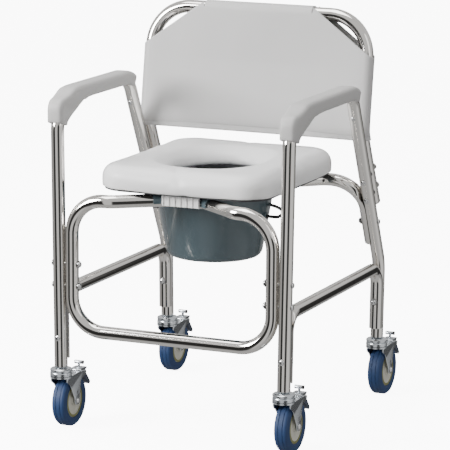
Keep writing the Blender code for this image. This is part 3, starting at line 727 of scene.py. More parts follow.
def pail_lip():
    """A gutter over the front bar's middle, following the bar's bends."""
    knee_slope = FRONT_BAR_Y / (FRONT_KNEE_OUT - FRONT_KNEE_IN)
    end_y = FRONT_BAR_Y - (LIP_HALF - FRONT_KNEE_IN) * knee_slope
    inside = [p for p in front_loop_path() if p.z > BAR_Z - GAP and abs(p.x) < LIP_HALF]
    path = [Vector((LIP_HALF, end_y, BAR_Z)), *inside, Vector((-LIP_HALF, end_y, BAR_Z))]
    section = [(LIP_R * cos(radians(t)), -LIP_R * sin(radians(t))) for t in LIP_ANGLES]
    turns = reversed(LIP_ANGLES)
    section += [(LIP_BORE_R * cos(radians(t)), -LIP_BORE_R * sin(radians(t))) for t in turns]
    return loft(rings_along(path, Z_AXIS, [section] * len(path)))


# ---------------------------------------------------------------- frame


def show_bolt(name, centre, axis, low, body, looks, nodes=()):
    """A dome-headed bolt with a washer at its head and an acorn nut at its end."""
    high = TUBE_R + GAP + HEAD_THICK
    nut = []
    for angle in (8, 25, 45, 65, 85):
        nut.append((HEAD_R * sin(radians(angle)), low + NUT_THICK * 0.55 * (1 - cos(radians(angle)))))
    head = []
    for angle in (90, 70, 45, 20, 5):
        lift = HEAD_THICK * 0.75 * cos(radians(angle))
        head.append((HEAD_R * sin(radians(angle)), high - HEAD_THICK * 0.75 + lift))
    profile = nut + [
        (HEAD_R, low + NUT_THICK - 0.0012),
        (HEAD_R + 0.0016, low + NUT_THICK - 0.0012),
        (HEAD_R + 0.0016, low + NUT_THICK),
        (BOLT_R, low + NUT_THICK),
        (BOLT_R, high - HEAD_THICK),
        (HEAD_R, high - HEAD_THICK),
    ]
    show(name, turned(profile + head, BOLT_SIDES), looks["bolt"], body, nodes, centre, axis, 50)


def show_frame(looks):
    metal = looks["tube"]
    show("front_frame_fine", bent_tube(front_loop_path(), Y_AXIS), metal, "frame", ["front_frame"])
    path = rear_support_path()
    gaps = [leg_x(p.z) - abs(p.x) for p in path]
    tube = tube_with_saddles(path, Vector(SQUARE_TO_RAKE).normalized(), gaps)
    show("rear_support_fine", tube, metal, "frame", ["rear_support"])
    tube = bent_tube(backrest_path(), Y_AXIS)
    show("backrest_tube_fine", tube, metal, "frame", ["backrest_tube"])
    for side, sign in SIDES:
        tube = bent_tube(side_frame_path(sign), X_AXIS)
        show("side_frame_fine_" + side, tube, metal, "frame", ["side_frame_" + side])
        path = rail_path(sign)
        gaps = [min(p.y, DEPTH - p.y) for p in path]
        tube = tube_with_saddles(path, X_AXIS, gaps)
        show("side_rail_fine_" + side, tube, metal, "frame", ["side_rail_" + side])
        show_frame_bolts(side, sign, looks)
        show_back_fittings(side, sign, looks)


def show_frame_bolts(side, sign, looks):
    """One side's bolts through the front loop, the side rail's ends and the rear support."""
    outwards = (sign, 0, 0)
    under_saddle = -(TUBE_R + SADDLE_OFFSET + GAP + NUT_THICK)
    bolts = []
    for level, z in zip(("upper", "lower"), LOOP_BOLT_Z):
        low = -(leg_x(z) - LOOP_HALF + TUBE_R + GAP + NUT_THICK)
        bolts.append((f"loop_bolt_{side}_{level}", 0, z, outwards, low))
    bolts.append((f"rail_bolt_{side}_front", 0, FRONT_RAIL_BOLT_Z, (0, -1, 0), under_saddle))
    bolts.append((f"rail_bolt_{side}_rear", DEPTH, REAR_RAIL_BOLT_Z, (0, 1, 0), under_saddle))
    y = rake_y(SUPPORT_BOLT_Z)
    bolts.append((f"support_bolt_{side}", y, SUPPORT_BOLT_Z, outwards, under_saddle))
    for name, y, z, axis, low in bolts:
        show_bolt(name + "_fine", side_point(sign, y, z), axis, low, "frame", looks, [name])


def show_back_fittings(side, sign, looks):
    """One side's bolts and spacers between the raked leg and the backrest tube, and the pad's screw."""
    forwards = -Vector(SQUARE_TO_RAKE)
    apart = BACK_BEHIND * BACK_LEAN
    for level, z in zip(("upper", "lower"), BACK_BOLT_Z):
        centre = side_point(sign, rake_y(z), z)
        low = -(apart + TUBE_R + GAP + NUT_THICK)
        show_bolt(f"back_bolt_{side}_{level}", centre, forwards, low, "frame", looks)
        spacer = [(SPACER_R, TUBE_R - SPACER_SINK), (SPACER_R, apart - TUBE_R + SPACER_SINK)]
        ring = turned(spacer, BOLT_SIDES)
        name = f"back_spacer_{side}_{level}"
        show(name, ring, looks["black"], "frame", (), centre, SQUARE_TO_RAKE)
    centre = side_point(sign, rake_y(ARM_SCREW_Z), ARM_SCREW_Z) + forwards.normalized() * TUBE_R
    screw = turned(ARM_SCREW, BOLT_SIDES)
    show("arm_screw_" + side, screw, looks["bolt"], "frame", (), centre, forwards)


def show_back_plugs(looks):
    along = (0, RAKE, -1)
    profile = [
        (0.0100, -0.012),
        (0.0100, GAP),
        (TUBE_R + 0.0002, GAP),
        (TUBE_R + 0.0002, 0.0022),
        (TUBE_R - 0.0012, 0.0034),
        (0.0004, 0.0036),
    ]
    for side, sign in SIDES:
        end = (sign * BACK_HALF, back_y(BACK_END_Z), BACK_END_Z)
        plug = turned(profile, TUBE_SIDES)
        name = "backrest_plug_" + side
        show(name + "_fine", plug, looks["black"], "frame", [name], end, along)


# ---------------------------------------------------------------- sleeve


def sleeve_top(x):
    """Height of the sheet's top edge across the chair: level with the tube, then on the slant."""
    top = BACK_TOP_Z + SLEEVE_R
    share = (abs(x) - SLEEVE_TOP_HALF) / (BACK_HALF + SLEEVE_R - SLEEVE_TOP_HALF)
    return BACK_TOP_Z if share <= 0 else top - (top - SLEEVE_SHOULDER_Z) * share


def sleeve_depth(x, z):
    """Half depth of the sleeve's section: taut over the tubes, drawn in a little between them."""
    depth = SLEEVE_R + max(BACK_KNEE_Z - z, 0) * SLEEVE_FLARE
    span = 1 - min(abs(x) / (BACK_HALF - 0.01), 1) ** 2
    low = min(max((z - SLEEVE_LOW_Z) / 0.08, 0), 1)
    high = min(max((BACK_TOP_Z - z) / 0.10, 0), 1)
    return depth - SLEEVE_SAG * span * high * (0.55 + 0.45 * low)


def sleeve_section(u):
    """Where a share of the way round the section lies: across, and a signed share of its depth."""
    arc = pi * SLEEVE_R
    at = (u % 1) * (4 * BACK_HALF + 2 * arc)
    if at < BACK_HALF:
        return at, -1.0
    at -= BACK_HALF
    if at < arc:
        return BACK_HALF + SLEEVE_R * sin(at / SLEEVE_R), -cos(at / SLEEVE_R)
    at -= arc
    if at < 2 * BACK_HALF:
        return BACK_HALF - at, 1.0
    at -= 2 * BACK_HALF
    if at < arc:
        return -BACK_HALF - SLEEVE_R * sin(at / SLEEVE_R), cos(at / SLEEVE_R)
    return at - arc - BACK_HALF, -1.0


def sleeve_point(u, v):
    """A point on the sleeve: u runs once round the section, v from the hem to the top edge."""
    x, side = sleeve_section(u)
    z = SLEEVE_LOW_Z + (sleeve_top(x) - SLEEVE_LOW_Z) * v
    ripple = noise.noise(Vector((x * 9, z * 7, side * 2))) * 0.0012
    ripple += noise.noise(Vector((x * 26, z * 5, side * 3 + 7))) * 0.0004
    calm = min(max((BACK_HALF - abs(x)) / 0.05, 0), 1)
    return Vector((x, back_y(z) + side * (sleeve_depth(x, z) + ripple * calm), z))


def roll_over_top(bm, ring):
    """Carry the sheet from its front top edge over the tube to its rear one."""
    middle = back_y(BACK_TOP_Z)
    level = sorted((v for v in ring if abs(v.co.x) <= SLEEVE_TOP_HALF), key=lambda v: v.co.x)
    front = [v for v in level if v.co.y < middle]
    rear = [v for v in level if v.co.y > middle]
    strips = [front]
    for k in range(1, ROLL_STEPS):
        angle = pi * k / ROLL_STEPS
        strip = []
        for a, b in zip(front, rear):
            x = a.co.x + (b.co.x - a.co.x) * k / ROLL_STEPS
            y = middle - SLEEVE_R * cos(angle)
            strip.append(bm.verts.new((x, y, BACK_TOP_Z + SLEEVE_R * sin(angle))))
        strips.append(strip)
    strips.append(rear)
    for low, high in zip(strips, strips[1:]):
        for i in range(min(len(low), len(high)) - 1):
            bm.faces.new((low[i], low[i + 1], high[i + 1], high[i]))


def show_sleeve(looks):
    """Coated fabric drawn over the tube: an open sheet with a rolled top, then given its thickness."""
    rows = []
    for row in range(SLEEVE_ROWS + 1):
        rows.append([sleeve_point(i / SLEEVE_SIDES, row / SLEEVE_ROWS) for i in range(SLEEVE_SIDES)])
    bm = loft(rows, capped=False)
    bm.verts.ensure_lookup_table()
    roll_over_top(bm, bm.verts[-SLEEVE_SIDES:])
    piece = show("back_sleeve_fine", bm, looks["vinyl"], "frame", ["back_sleeve"], sharp=0)
    thick = piece.modifiers.new("thickness", "SOLIDIFY")
    thick.thickness = SHEET_THICK
    thick.offset = 1.0
    apply_modifiers(piece)
    show_sleeve_trim(looks)


def show_sleeve_trim(looks):
    """The hem's band and its two rows of stitching, each from one share of the height to another."""
    for name, low, high, lift, look in (
        ("sleeve_hem", 0.0, 0.052, 0.0003, "hem"),
        ("sleeve_hem_stitch_low", 0.0075, 0.0105, 0.0006, "seam"),
        ("sleeve_hem_stitch_high", 0.0485, 0.0515, 0.0006, "seam"),
    ):
        rows = []
        for v in (low, (low + high) / 2, high):
            row = []
            for i in range(HEM_SIDES):
                p = sleeve_point(i / HEM_SIDES, v)
                away = Vector((0, p.y - back_y(p.z), 0))
                if abs(p.x) > BACK_HALF:
                    away.x = p.x - copysign(BACK_HALF, p.x)
                row.append(p + away.normalized() * (SHEET_THICK + lift))
            rows.append(row)
        show(name, loft(rows, capped=False), looks[look], "frame", sharp=0)


# ---------------------------------------------------------------- arm pads


def pad_end(ring, point, along, shrink, shift):
    """An end ring drawn in towards its point and moved out, for a rounded lip."""
    return [point + (p - point) * shrink + along * shift for p in ring]


def opened(ring, frame, most):
    """A pad's ring cut off flat at a distance under its point, so that the tube shows below."""
    point, _, other = frame
    low = []
    for p in ring:
        over = (p - point).dot(other) - most
        low.append(p - other * over if over > 0 else p)
    return low


def show_arm_pads(looks):
    """Skins over the armrests, from low on the front bend to part way down the rear one."""
    count = round((PAD_STRAIGHT_TO_Y - PAD_STRAIGHT_FROM_Y) / PAD_STRAIGHT_STEP)
    for side, sign in SIDES:
        whole = side_frame_path(sign)
        straight = []
        for i in range(count + 1):
            straight.append(side_point(sign, PAD_STRAIGHT_FROM_Y + PAD_STRAIGHT_STEP * i, ARM_Z))
        path = whole[PAD_FIRST:PAD_BEND_END] + straight + whole[PAD_BEND_END:PAD_LAST]
        before = (path[0] - path[1]).normalized()
        after = (path[-1] - path[-2]).normalized()
        frames = frames_along(path, X_AXIS)
        bore = circle(TUBE_R + PAD_CLEAR, PAD_POINTS)
        inner = rings_along(path, X_AXIS, [bore] * len(path))
        outer = [pad_ring(*frame) for frame in frames]
        for i, frame in enumerate(frames):
            share = min(max((frame[0].y - PAD_OPEN_FROM_Y) / PAD_OPEN_OVER, 0), 1)
            most = PAD_WEB_MOST + (PAD_OPEN_LOW - PAD_WEB_MOST) * share
            if share > 0:
                outer[i] = opened(outer[i], frame, most)
                inner[i] = opened(inner[i], frame, most - PAD_LIP)
        first = [pad_end(outer[0], path[0], before, *lip) for lip in PAD_LIPS]
        last = [pad_end(outer[-1], path[-1], after, *lip) for lip in reversed(PAD_LIPS)]
        mouth = PAD_LIPS[0][1]
        inner = [pad_end(inner[0], path[0], before, 1, mouth), *inner]
        inner.append(pad_end(inner[-1], path[-1], after, 1, mouth))
        name = "arm_pad_" + side
        skin = hollow(first + outer + last, inner)
        show(name + "_fine", skin, looks["pad"], "frame", [name], sharp=62)


# ---------------------------------------------------------------- seat


def cushion_rings():
    """The cushion's closed section: up its side, over the top, into the dish, and back underneath."""
    edge = SEAT_EDGE_R
    top = SEAT_TOP_Z - CROWN_ROOM
    foot = SEAT_BOTTOM_Z + 0.0006
    rings = [
        seat_outline(SKIRT_INSET, foot),
        seat_outline(0.0026, foot),
        seat_outline(0.0008, foot + 0.0026),
        seat_outline(0.0006, top - edge),
    ]
    for degrees in range(10, 90, 10):
        turn = radians(degrees)
        inset = 0.0004 + edge * (1 - cos(turn))
        rings.append(seat_outline(inset, top - edge + edge * sin(turn)))
    flat = seat_outline(edge, top)
    rings.append(flat)
    rim_a = DISH_A + 0.010
    rim_b = DISH_B + 0.010
    lip = oval(rim_a, rim_b, HOLE_Y, top)
    for share in (0.35, 0.7, 1.0):
        ring = []
        for (ax, ay, _), (bx, by, _) in zip(flat, lip):
            ring.append((ax + (bx - ax) * share, ay + (by - ay) * share, top))
        rings.append(ring)
    for i in range(1, 13):
        turn = pi / 2 * i / 12
        inward = sin(turn) ** 0.9
        a = rim_a + (HOLE_A + 0.002 - rim_a) * inward
        b = rim_b + (HOLE_B + 0.002 - rim_b) * inward
        rings.append(oval(a, b, HOLE_Y, top - DISH_DEPTH * (1 - cos(turn))))
    under = top - DISH_DEPTH - 0.0065
    rings.append(oval(HOLE_A, HOLE_B, HOLE_Y, top - DISH_DEPTH - 0.0035))
    for wider, z in ((0.002, under), (0.012, under), (0.012, SEAT_SPLIT_Z + 0.0010)):
        rings.append(oval(HOLE_A + wider, HOLE_B + wider, HOLE_Y, z))
    rings.append(seat_outline(SKIRT_INSET, SEAT_SPLIT_Z + 0.0010))
    return rings


def puff(piece, cap):
    """Swell a padded piece with a short cloth simulation, no point moving further than a cap."""
    remesh = piece.modifiers.new("voxels", "REMESH")
    remesh.mode = "VOXEL"
    remesh.voxel_size = SWELL_VOXEL
    apply_modifiers(piece)
    rest = [v.co.copy() for v in piece.data.vertices]
    cloth = piece.modifiers.new("swell", "CLOTH")
    cloth.settings.quality = 4
    cloth.settings.use_pressure = True
    cloth.settings.uniform_pressure_force = SWELL_PRESSURE
    cloth.settings.effector_weights.gravity = 0.0
    cloth.settings.tension_stiffness = SWELL_STIFFNESS
    cloth.settings.compression_stiffness = SWELL_STIFFNESS
    cloth.point_cache.frame_start = 1
    cloth.point_cache.frame_end = SWELL_FRAMES
    scene = bpy.context.scene
    for frame in range(1, SWELL_FRAMES + 1):
        scene.frame_set(frame)
    apply_modifiers(piece)
    scene.frame_set(1)
    for vertex, start in zip(piece.data.vertices, rest):
        moved = vertex.co - start
        if moved.length > cap:
            vertex.co = start + moved.normalized() * cap
    smooth = piece.modifiers.new("relax", "SMOOTH")
    smooth.factor = 0.5
    smooth.iterations = 6
    finer = piece.modifiers.new("finer", "SUBSURF")
    finer.levels = 1
    finer.render_levels = 1
    apply_modifiers(piece)
    piece.data.shade_smooth()


def show_seat(looks):
    rings = cushion_rings()
    skin = loft(rings, closed=True)
    piece = show("seat_cushion_fine", skin, looks["seat"], "seat", ["seat_cushion"], sharp=0)
    puff(piece, CROWN_ROOM)
    rings = [
        seat_outline(BOARD_UNDER_INSET, SEAT_BOTTOM_Z),
        seat_outline(BOARD_INSET, SEAT_BOTTOM_Z + 0.0030),
        seat_outline(BOARD_INSET, SEAT_SPLIT_Z),
    ]
    step_up = ((0.010, SEAT_SPLIT_Z), (0.010, BOARD_NECK_Z), (0.003, BOARD_NECK_Z), (0.003, RECESS_TOP_Z))
    for wider, z in step_up:
        rings.append(oval(HOLE_A + wider, HOLE_B + wider, HOLE_Y, z))
    for z in (RECESS_TOP_Z, SEAT_BOTTOM_Z):
        rings.append(oval(RECESS_R, RECESS_R, PAIL_Y, z))
    # the base and its recess under the opening take the near-black look, painted shade under the
    # cushion's lip
    show("seat_base_fine", loft(rings, closed=True), looks["painted_shade_board"], "seat", ["seat_base"])
    show_clip(looks)


def show_clip(looks):
    """The hook under the seat's front edge, with ribs down its face."""
    top = RECESS_TOP_Z - GAP
    outline = [
        (CLIP_Y, CLIP_LOW_Z),
        (CLIP_Y + CLIP_THICK, CLIP_LOW_Z),
        (CLIP_Y + CLIP_THICK, top),
        (CLIP_FLANGE_Y, top),
        (CLIP_FLANGE_Y, top - CLIP_THICK),
        (CLIP_Y, top - CLIP_THICK),
    ]
    clip = extruded(outline, CLIP_HALF)
    show("seat_clip_fine", clip, looks["clip"], "seat", ["seat_front_clip"])
    for i in range(7):
        x = CLIP_HALF * (i - 3) / 3.2
        rib = [
            (CLIP_Y + 0.0004, CLIP_LOW_Z + 0.0005),
            (CLIP_Y - 0.0020, CLIP_LOW_Z + 0.0015),
            (CLIP_Y - 0.0020, top - CLIP_THICK),
            (CLIP_Y + 0.0004, top - CLIP_THICK),
        ]
        show(f"seat_clip_rib_{i}", extruded(rib, 0.0012, x), looks["clip"], "seat")


# ---------------------------------------------------------------- pail


def show_pail(looks):
    floor = PAIL_BOTTOM_Z
    inner_top = PAIL_TOP_R - PAIL_WALL
    inner_bottom = PAIL_BOTTOM_R - PAIL_WALL
    profile = [
        (0.0004, floor + 0.0015),
        (PAIL_BOTTOM_R - 0.016, floor + 0.0015),
        (PAIL_BOTTOM_R - 0.014, floor),
        (PAIL_BOTTOM_R - 0.0098, floor + 0.0004),
        (PAIL_BOTTOM_R - 0.0060, floor + 0.0017),
        (PAIL_BOTTOM_R - 0.0029, floor + 0.0041),
        (PAIL_BOTTOM_R - 0.0006, floor + 0.0075),
        (PAIL_BOTTOM_R + 0.0012, floor + 0.0112),
        (PAIL_TOP_R - 0.0012, RIM_Z - 0.0040),
        (PAIL_TOP_R + 0.0008, RIM_Z - 0.0008),
        (PAIL_TOP_R + 0.0030, RIM_Z),
        (RIM_R - 0.0006, RIM_Z),
        (RIM_R, RIM_Z + 0.0006),
        (RIM_R, RIM_Z + RIM_THICK - 0.0008),
        (RIM_R - 0.0008, RIM_Z + RIM_THICK),
        (inner_top + 0.0020, RIM_Z + RIM_THICK),
        (inner_top, RIM_Z + RIM_THICK - 0.0020),
        (inner_bottom + 0.0008, floor + 0.0120),
        (inner_bottom - 0.0020, floor + 0.0075),
        (inner_bottom - 0.0070, floor + 0.0042),
        (PAIL_BOTTOM_R - 0.016, floor + PAIL_WALL + 0.0008),
        (0.0004, floor + PAIL_WALL + 0.0008),
    ]
    bucket = turned(profile, PAIL_SIDES)
    show("pail_fine", bucket, looks["pail"], "frame", ["pail"], (0, PAIL_Y, 0), sharp=55)
    show("pail_lip_fine", pail_lip(), looks["pail"], "frame")
    for side, sign in SIDES:
        radius = PAIL_BOTTOM_R + (PAIL_TOP_R - PAIL_BOTTOM_R) * (BAIL_PIVOT_Z - floor) / (RIM_Z - floor)
        place = (sign * (radius - 0.0010), PAIL_Y, BAIL_PIVOT_Z)
        ear = turned([(0.0085, 0), (0.0085, 0.0016), (0.0070, 0.0026), (0.0045, 0.0028)], 32)
        show("pail_ear_" + side, ear, looks["pail"], "frame", (), place, (sign, 0, -0.17))


def show_pail_handle(looks):
    """A wire bail: out from one pivot, round a small bend and in an arc to the other pivot."""
    start = (BAIL_END - 0.003, 0, 0)
    onward = (BAIL_R * cos(0.09), BAIL_R * sin(0.09), 0)
    right = filleted([start, (BAIL_R, 0, 0), onward], (0.005,))[:-1]
    count = 30
    for i in range(2, count):
        angle = pi / 2 * i / count
        right.append(Vector((BAIL_R * cos(angle), BAIL_R * sin(angle), 0)))
    path = right + [Vector((0, BAIL_R, 0))] + mirrored(right)
    wire = loft(rings_along(path, Z_AXIS, [circle(BAIL_WIRE_R, 20)] * len(path)))
    place = (0, PAIL_Y, BAIL_PIVOT_Z)
    show("pail_handle_fine", wire, looks["black"], "pail_handle", ["pail_handle"], place)


# ---------------------------------------------------------------- casters


def both_ways(profile):
    """A turned profile of (radius, height) below its middle, carried on above it."""
    return profile + [(radius, -height) for radius, height in reversed(profile)]


def rounded_outline(outline, share):
    """A closed outline with its corners cut back twice, each time by a share of the edges."""
    for _ in range(2):
        softer = []
        for (ya, za), (yb, zb) in zip(outline, outline[1:] + outline[:1]):
            softer.append((ya + (yb - ya) * share, za + (zb - za) * share))
            softer.append((yb + (ya - yb) * share, zb + (za - zb) * share))
        outline = softer
    return outline


def bevelled_slab(outline, half, middle, edge):
    """An extruded outline whose two faces are drawn in by an edge, so that its rims catch light."""
    cy = sum(y for y, _ in outline) / len(outline)
    cz = sum(z for _, z in outline) / len(outline)
    rows = []
    for x, inset in ((-half, edge), (-half + edge, 0), (half - edge, 0), (half, edge)):
        row = []
        for y, z in outline:
            span = max(hypot(y - cy, z - cz), edge * 2)
            k = 1 - inset / span
            row.append((middle + x, cy + (y - cy) * k, cz + (z - cz) * k))
        rows.append(row)
    return loft(rows)


def show_caster(corner, foot, looks):
    """One swivel caster: stem, banded bearing cup, pressed fork, wheel and foot brake."""
    body = "caster_" + corner
    profile = [
        (STEM_R - 0.0015, 0.1065),
        (STEM_R, 0.1075),
        (STEM_R, 0.1218),
        (0.0105, 0.1222),
        (0.0112, 0.1228),
        (0.0112, 0.1240),
        (0.0104, FOOT_Z - 0.0003),
        (SOCKET_R, FOOT_Z + 0.0008),
        (SOCKET_R, FOOT_Z + 0.0340),
        (0.0070, FOOT_Z + 0.0370),
    ]
    stem = turned(profile, TUBE_SIDES)
    show(f"stem_{corner}_fine", stem, looks["zinc"], "frame", ["caster_stem_" + corner], foot)
    profile = [
        (CUP_BORE_R, 0.1055),
        (CUP_R - 0.0016, 0.1055),
        (CUP_R - 0.0003, 0.1063),
        (CUP_R, 0.1078),
        (CUP_R, 0.1118),
        (CUP_R - 0.0006, 0.1130),
        (CUP_R - 0.0022, 0.1136),
        (CUP_R - 0.0022, 0.1147),
        (CUP_R - 0.0006, 0.1153),
        (CUP_R, 0.1164),
        (CUP_R - 0.0002, 0.1188),
        (CUP_R - 0.0020, 0.1204),
        (0.0155, 0.1213),
        (0.0120, CUP_TOP_Z),
        (CUP_BORE_R, CUP_TOP_Z),
    ]
    cup = turned(profile, TUBE_SIDES, closed=True)
    show(f"cup_{corner}_fine", cup, looks["zinc"], body, ["caster_cup_" + corner], foot)
    show_fork(corner, foot, body, looks)
    show_wheel(corner, foot, looks)
    show_brake(corner, foot, looks)


def show_fork(corner, foot, body, looks):
    """A crown plate and two blades with rounded rims, and the axle through them."""
    plan = []
    for i in range(25):
        angle = pi + pi * i / 24
        plan.append((CUP_R * cos(angle), CUP_R * sin(angle)))
    plan += [(CROWN_BACK_HALF, CROWN_BACK_Y), (-CROWN_BACK_HALF, CROWN_BACK_Y)]
    crown = loft([[(x, y, z) for x, y in plan] for z in (CROWN_Z, CROWN_Z + CROWN_THICK)])
    name = "caster_fork_" + corner
    show(f"crown_{corner}_fine", crown, looks["zinc"], body, [name], foot)
    for side, sign in SIDES:
        middle = sign * (FORK_IN + FORK_THICK / 2)
        blade = bevelled_slab(rounded_outline(FORK_BLADE, 0.18), FORK_THICK / 2, middle, 0.0006)
        show(f"blade_{corner}_{side}", blade, looks["zinc"], body, (), foot, sharp=50)
    place = Vector(foot) + Vector((0, TRAIL, WHEEL_R))
    outside = FORK_IN + FORK_THICK + GAP
    dome = [(radius, -outside - past) for radius, past in AXLE_END]
    axle = turned(both_ways(dome), 24, axis="X")
    show(f"axle_{corner}_fine", axle, looks["bolt"], body, ["caster_axle_" + corner], place)


def show_wheel(corner, foot, looks):
    """Hub with a dished web and an olive ring round its edge, and a tyre with grooves in its tread."""
    body = "wheel_" + corner
    place = Vector(foot) + Vector((0, TRAIL, WHEEL_R))
    half = HUB_HALF
    profile = [
        (AXLE_R + 0.0006, -half),
        (0.0096, -half),
        (0.0102, -half + 0.0006),
        (0.0106, -half + 0.0030),
        (0.0180, -half + 0.0036),
        (0.0262, -half + 0.0034),
        (0.0272, -half + 0.0014),
        (0.0282, -half + 0.0008),
        (0.0318, -half + 0.0008),
        (HUB_R, -half + 0.0015),
    ]
    hub = turned(both_ways(profile), WHEEL_SIDES, axis="X", closed=True)
    show(f"hub_{corner}_fine", hub, looks["hub"], body, ["wheel_hub_" + corner], place)
    for side, sign in SIDES:
        ring = [(0.0276, sign * (half - 0.0011)), (0.0322, sign * (half - 0.0014))]
        ring += [(0.0322, sign * (half - 0.0006)), (0.0276, sign * (half - 0.0002))]
        seal = turned(ring, 48, axis="X", closed=True)
        show(f"seal_{corner}_{side}", seal, looks["olive"], body, (), place)
    profile = [
        (HUB_R + GAP, -HUB_HALF + 0.0008),
        (HUB_R + 0.0020, -TYRE_HALF + 0.0006),
        (HUB_R + 0.0050, -TYRE_HALF),
        (SHOULDER_R - 0.0030, -TYRE_HALF),
        (SHOULDER_R, -TYRE_HALF + 0.0006),
        (WHEEL_R - 0.0016, -TYRE_HALF + 0.0026),
        (WHEEL_R - 0.0002, -TREAD_HALF + 0.0002),
        (WHEEL_R, -TREAD_HALF + 0.0014),
        (WHEEL_R, -0.0052),
        (WHEEL_R - 0.0009, -0.0047),
        (WHEEL_R - 0.0009, -0.0041),
        (WHEEL_R, -0.0036),
        (WHEEL_R, -0.0008),
    ]
    tyre = turned(both_ways(profile), WHEEL_SIDES, axis="X", closed=True)
    show(f"tyre_{corner}_fine", tyre, looks["tyre"], body, ["wheel_tyre_" + corner], place, sharp=50)


def brake_slab(outline, share):
    """A slab across the brake's pivot from an outline of depth and height."""
    around = [(y - PIVOT_Y, z - PIVOT_Z) for y, z in outline]
    return bevelled_slab(rounded_outline(around, share), LEVER_HALF, 0, 0.0008)


def show_brake(corner, foot, looks):
    """A pressed metal wing over a navy pedal, on a pin through the fork, with its cross screw."""
    body = "brake_" + corner
    pivot = Vector(foot) + Vector((0, PIVOT_Y, PIVOT_Z))
    top = brake_slab(BRAKE_WING, 0.18)
    lever = "brake_lever_" + corner
    show(f"brake_wing_{corner}", top, looks["zinc"], body, [lever], pivot, sharp=50)
    low = brake_slab(BRAKE_PEDAL, 0.12)
    show(f"brake_pedal_{corner}", low, looks["pedal"], body, (), pivot, sharp=50)
    pin = turned([(PIN_R, -PIN_HALF), (PIN_R, PIN_HALF)], 20, axis="X")
    show(f"brake_pin_{corner}", pin, looks["bolt"], body, (), pivot)
    place = Vector(foot) + Vector((0, SCREW_Y, SCREW_Z))
    bar = [
        (0.0010, -SCREW_HEAD_HALF),
        (SCREW_HEAD_R - 0.0004, -SCREW_HEAD_HALF + 0.0003),
        (SCREW_HEAD_R, -SCREW_HEAD_HALF + 0.0010),
    ]
    head = turned(both_ways(bar), 24, axis="X")
    screw = "brake_screw_" + corner
    show(f"brake_cross_{corner}", head, looks["zinc"], body, [screw], place)
    shank = turned([(SCREW_R, -SCREW_DROP), (SCREW_R, 0.0)], 20)
    show(f"brake_shank_{corner}", shank, looks["zinc"], body, (), place)
    radius = SCREW_HEAD_R + 0.0002
    cap = turned([(radius, SCREW_HEAD_HALF - 0.0030), (radius, SCREW_HEAD_HALF)], 24, axis="X")
    show(f"brake_cross_cap_{corner}", cap, looks["black"], body, (), place)


# ---------------------------------------------------------------- setting


def add_floor():
    """A wide glowing sheet that only the camera sees."""
    mesh = bpy.data.meshes.new("floor")
    corners = [(x * FLOOR_HALF, y * FLOOR_HALF, 0) for x, y in ((-1, -1), (1, -1), (1, 1), (-1, 1))]
    mesh.from_pydata(corners, [], [(0, 1, 2, 3)])
    floor = bpy.data.objects.new("floor", mesh)
    material = make_material("pale_floor", (0.90, 0.90, 0.90), 0.9)
    shader_of(material).inputs["Emission Color"].default_value = (1, 1, 1, 1)
    shader_of(material).inputs["Emission Strength"].default_value = FLOOR_GLOW
    floor.data.materials.append(material)
    bpy.context.scene.collection.objects.link(floor)
    floor.visible_glossy = False
    floor.visible_diffuse = False


def grey_ramp(tree, stops):
    """A ramp through stops of position, grey and alpha, the first at 0 and the last at 1."""
    ramp = tree.nodes.new("ShaderNodeValToRGB")
    elements = ramp.color_ramp.elements
    for element, (_, grey, alpha) in zip(elements, (stops[0], stops[-1])):
        element.color = (grey, grey, grey, alpha)
    for position, grey, alpha in stops[1:-1]:
        elements.new(position).color = (grey, grey, grey, alpha)
    return ramp


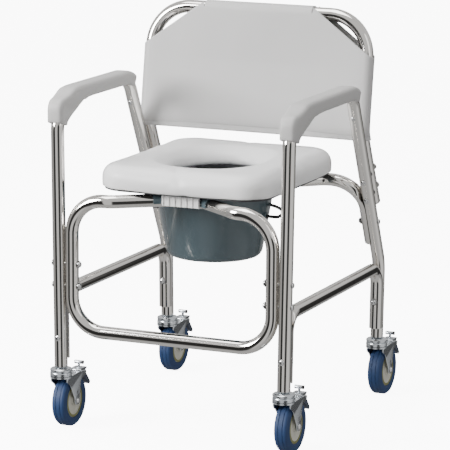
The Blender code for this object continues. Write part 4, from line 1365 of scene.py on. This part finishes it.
def add_world():
    """Soft light from everywhere, with darker bands that only show as streaks in polished metal."""
    world = bpy.data.worlds.new("studio")
    bpy.context.scene.world = world
    world.use_nodes = True
    tree = world.node_tree
    back = tree.nodes["Background"]
    place = tree.nodes.new("ShaderNodeTexCoord")
    turn = tree.nodes.new("ShaderNodeTexGradient")
    turn.gradient_type = "RADIAL"
    bands = grey_ramp(tree, [(*stop, 1.0) for stop in WORLD_BANDS])
    parts = tree.nodes.new("ShaderNodeSeparateXYZ")
    rise = tree.nodes.new("ShaderNodeMapRange")
    rise.inputs["From Min"].default_value = -1.0
    rise.inputs["From Max"].default_value = 1.0
    levels = grey_ramp(tree, WORLD_LEVELS)
    both = tree.nodes.new("ShaderNodeMix")
    both.data_type = "RGBA"
    tree.links.new(place.outputs["Generated"], turn.inputs["Vector"])
    tree.links.new(turn.outputs["Color"], bands.inputs["Fac"])
    tree.links.new(place.outputs["Generated"], parts.inputs["Vector"])
    tree.links.new(parts.outputs["Z"], rise.inputs["Value"])
    tree.links.new(rise.outputs["Result"], levels.inputs["Fac"])
    tree.links.new(levels.outputs["Alpha"], both.inputs["Factor"])
    tree.links.new(levels.outputs["Color"], both.inputs["A"])
    tree.links.new(bands.outputs["Color"], both.inputs["B"])
    tree.links.new(both.outputs["Result"], back.inputs["Color"])
    back.inputs["Strength"].default_value = WORLD_STRENGTH


def add_light(name, place, aim, size, power):
    lamp = bpy.data.lights.new(name, "AREA")
    lamp.shape = "RECTANGLE"
    lamp.size = size[0]
    lamp.size_y = size[1]
    lamp.energy = power
    made = bpy.data.objects.new(name, lamp)
    bpy.context.scene.collection.objects.link(made)
    made.location = place
    made.rotation_mode = "QUATERNION"
    made.rotation_quaternion = (Vector(aim) - Vector(place)).to_track_quat("-Z", "Y")


def add_camera():
    """The camera at the viewing angle that the chair's proportions were worked out for."""
    az = radians(CAMERA_AZIMUTH)
    el = radians(CAMERA_ELEVATION)
    roll = radians(CAMERA_ROLL)
    back = Vector((sin(az) * cos(el), -cos(az) * cos(el), sin(el)))
    right = (-back).cross(Z_AXIS).normalized()
    up = right.cross(-back)
    right, up = cos(roll) * right + sin(roll) * up, cos(roll) * up - sin(roll) * right
    aim_y = CAMERA_AIM_Y + CAMERA_SHIFT_X * sin(az) - ORIGIN_Y
    aim = Vector((CAMERA_SHIFT_X * cos(az), aim_y, CAMERA_AIM_Z))
    lens = bpy.data.cameras.new("camera")
    lens.sensor_width = 36
    lens.lens = CAMERA_LENS
    lens.clip_end = 200
    camera = bpy.data.objects.new("camera", lens)
    bpy.context.scene.collection.objects.link(camera)
    turned_to = Matrix((right, up, back)).transposed().to_4x4()
    camera.matrix_world = Matrix.Translation(aim + back * CAMERA_DISTANCE) @ turned_to
    bpy.context.scene.camera = camera


# ---------------------------------------------------------------- the whole scene


def main():
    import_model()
    looks = {look: make_material(*spec) for look, spec in LOOKS.items()}
    show_frame(looks)
    show_back_plugs(looks)
    show_sleeve(looks)
    show_arm_pads(looks)
    show_seat(looks)
    show_pail(looks)
    show_pail_handle(looks)
    for end, y in (("front", 0), ("rear", DEPTH)):
        for side, sign in SIDES:
            show_caster(f"{end}_{side}", (sign * leg_x(FOOT_Z), y, 0), looks)
    add_floor()
    add_world()
    for light in LIGHTS:
        add_light(*light)
    add_camera()


main()
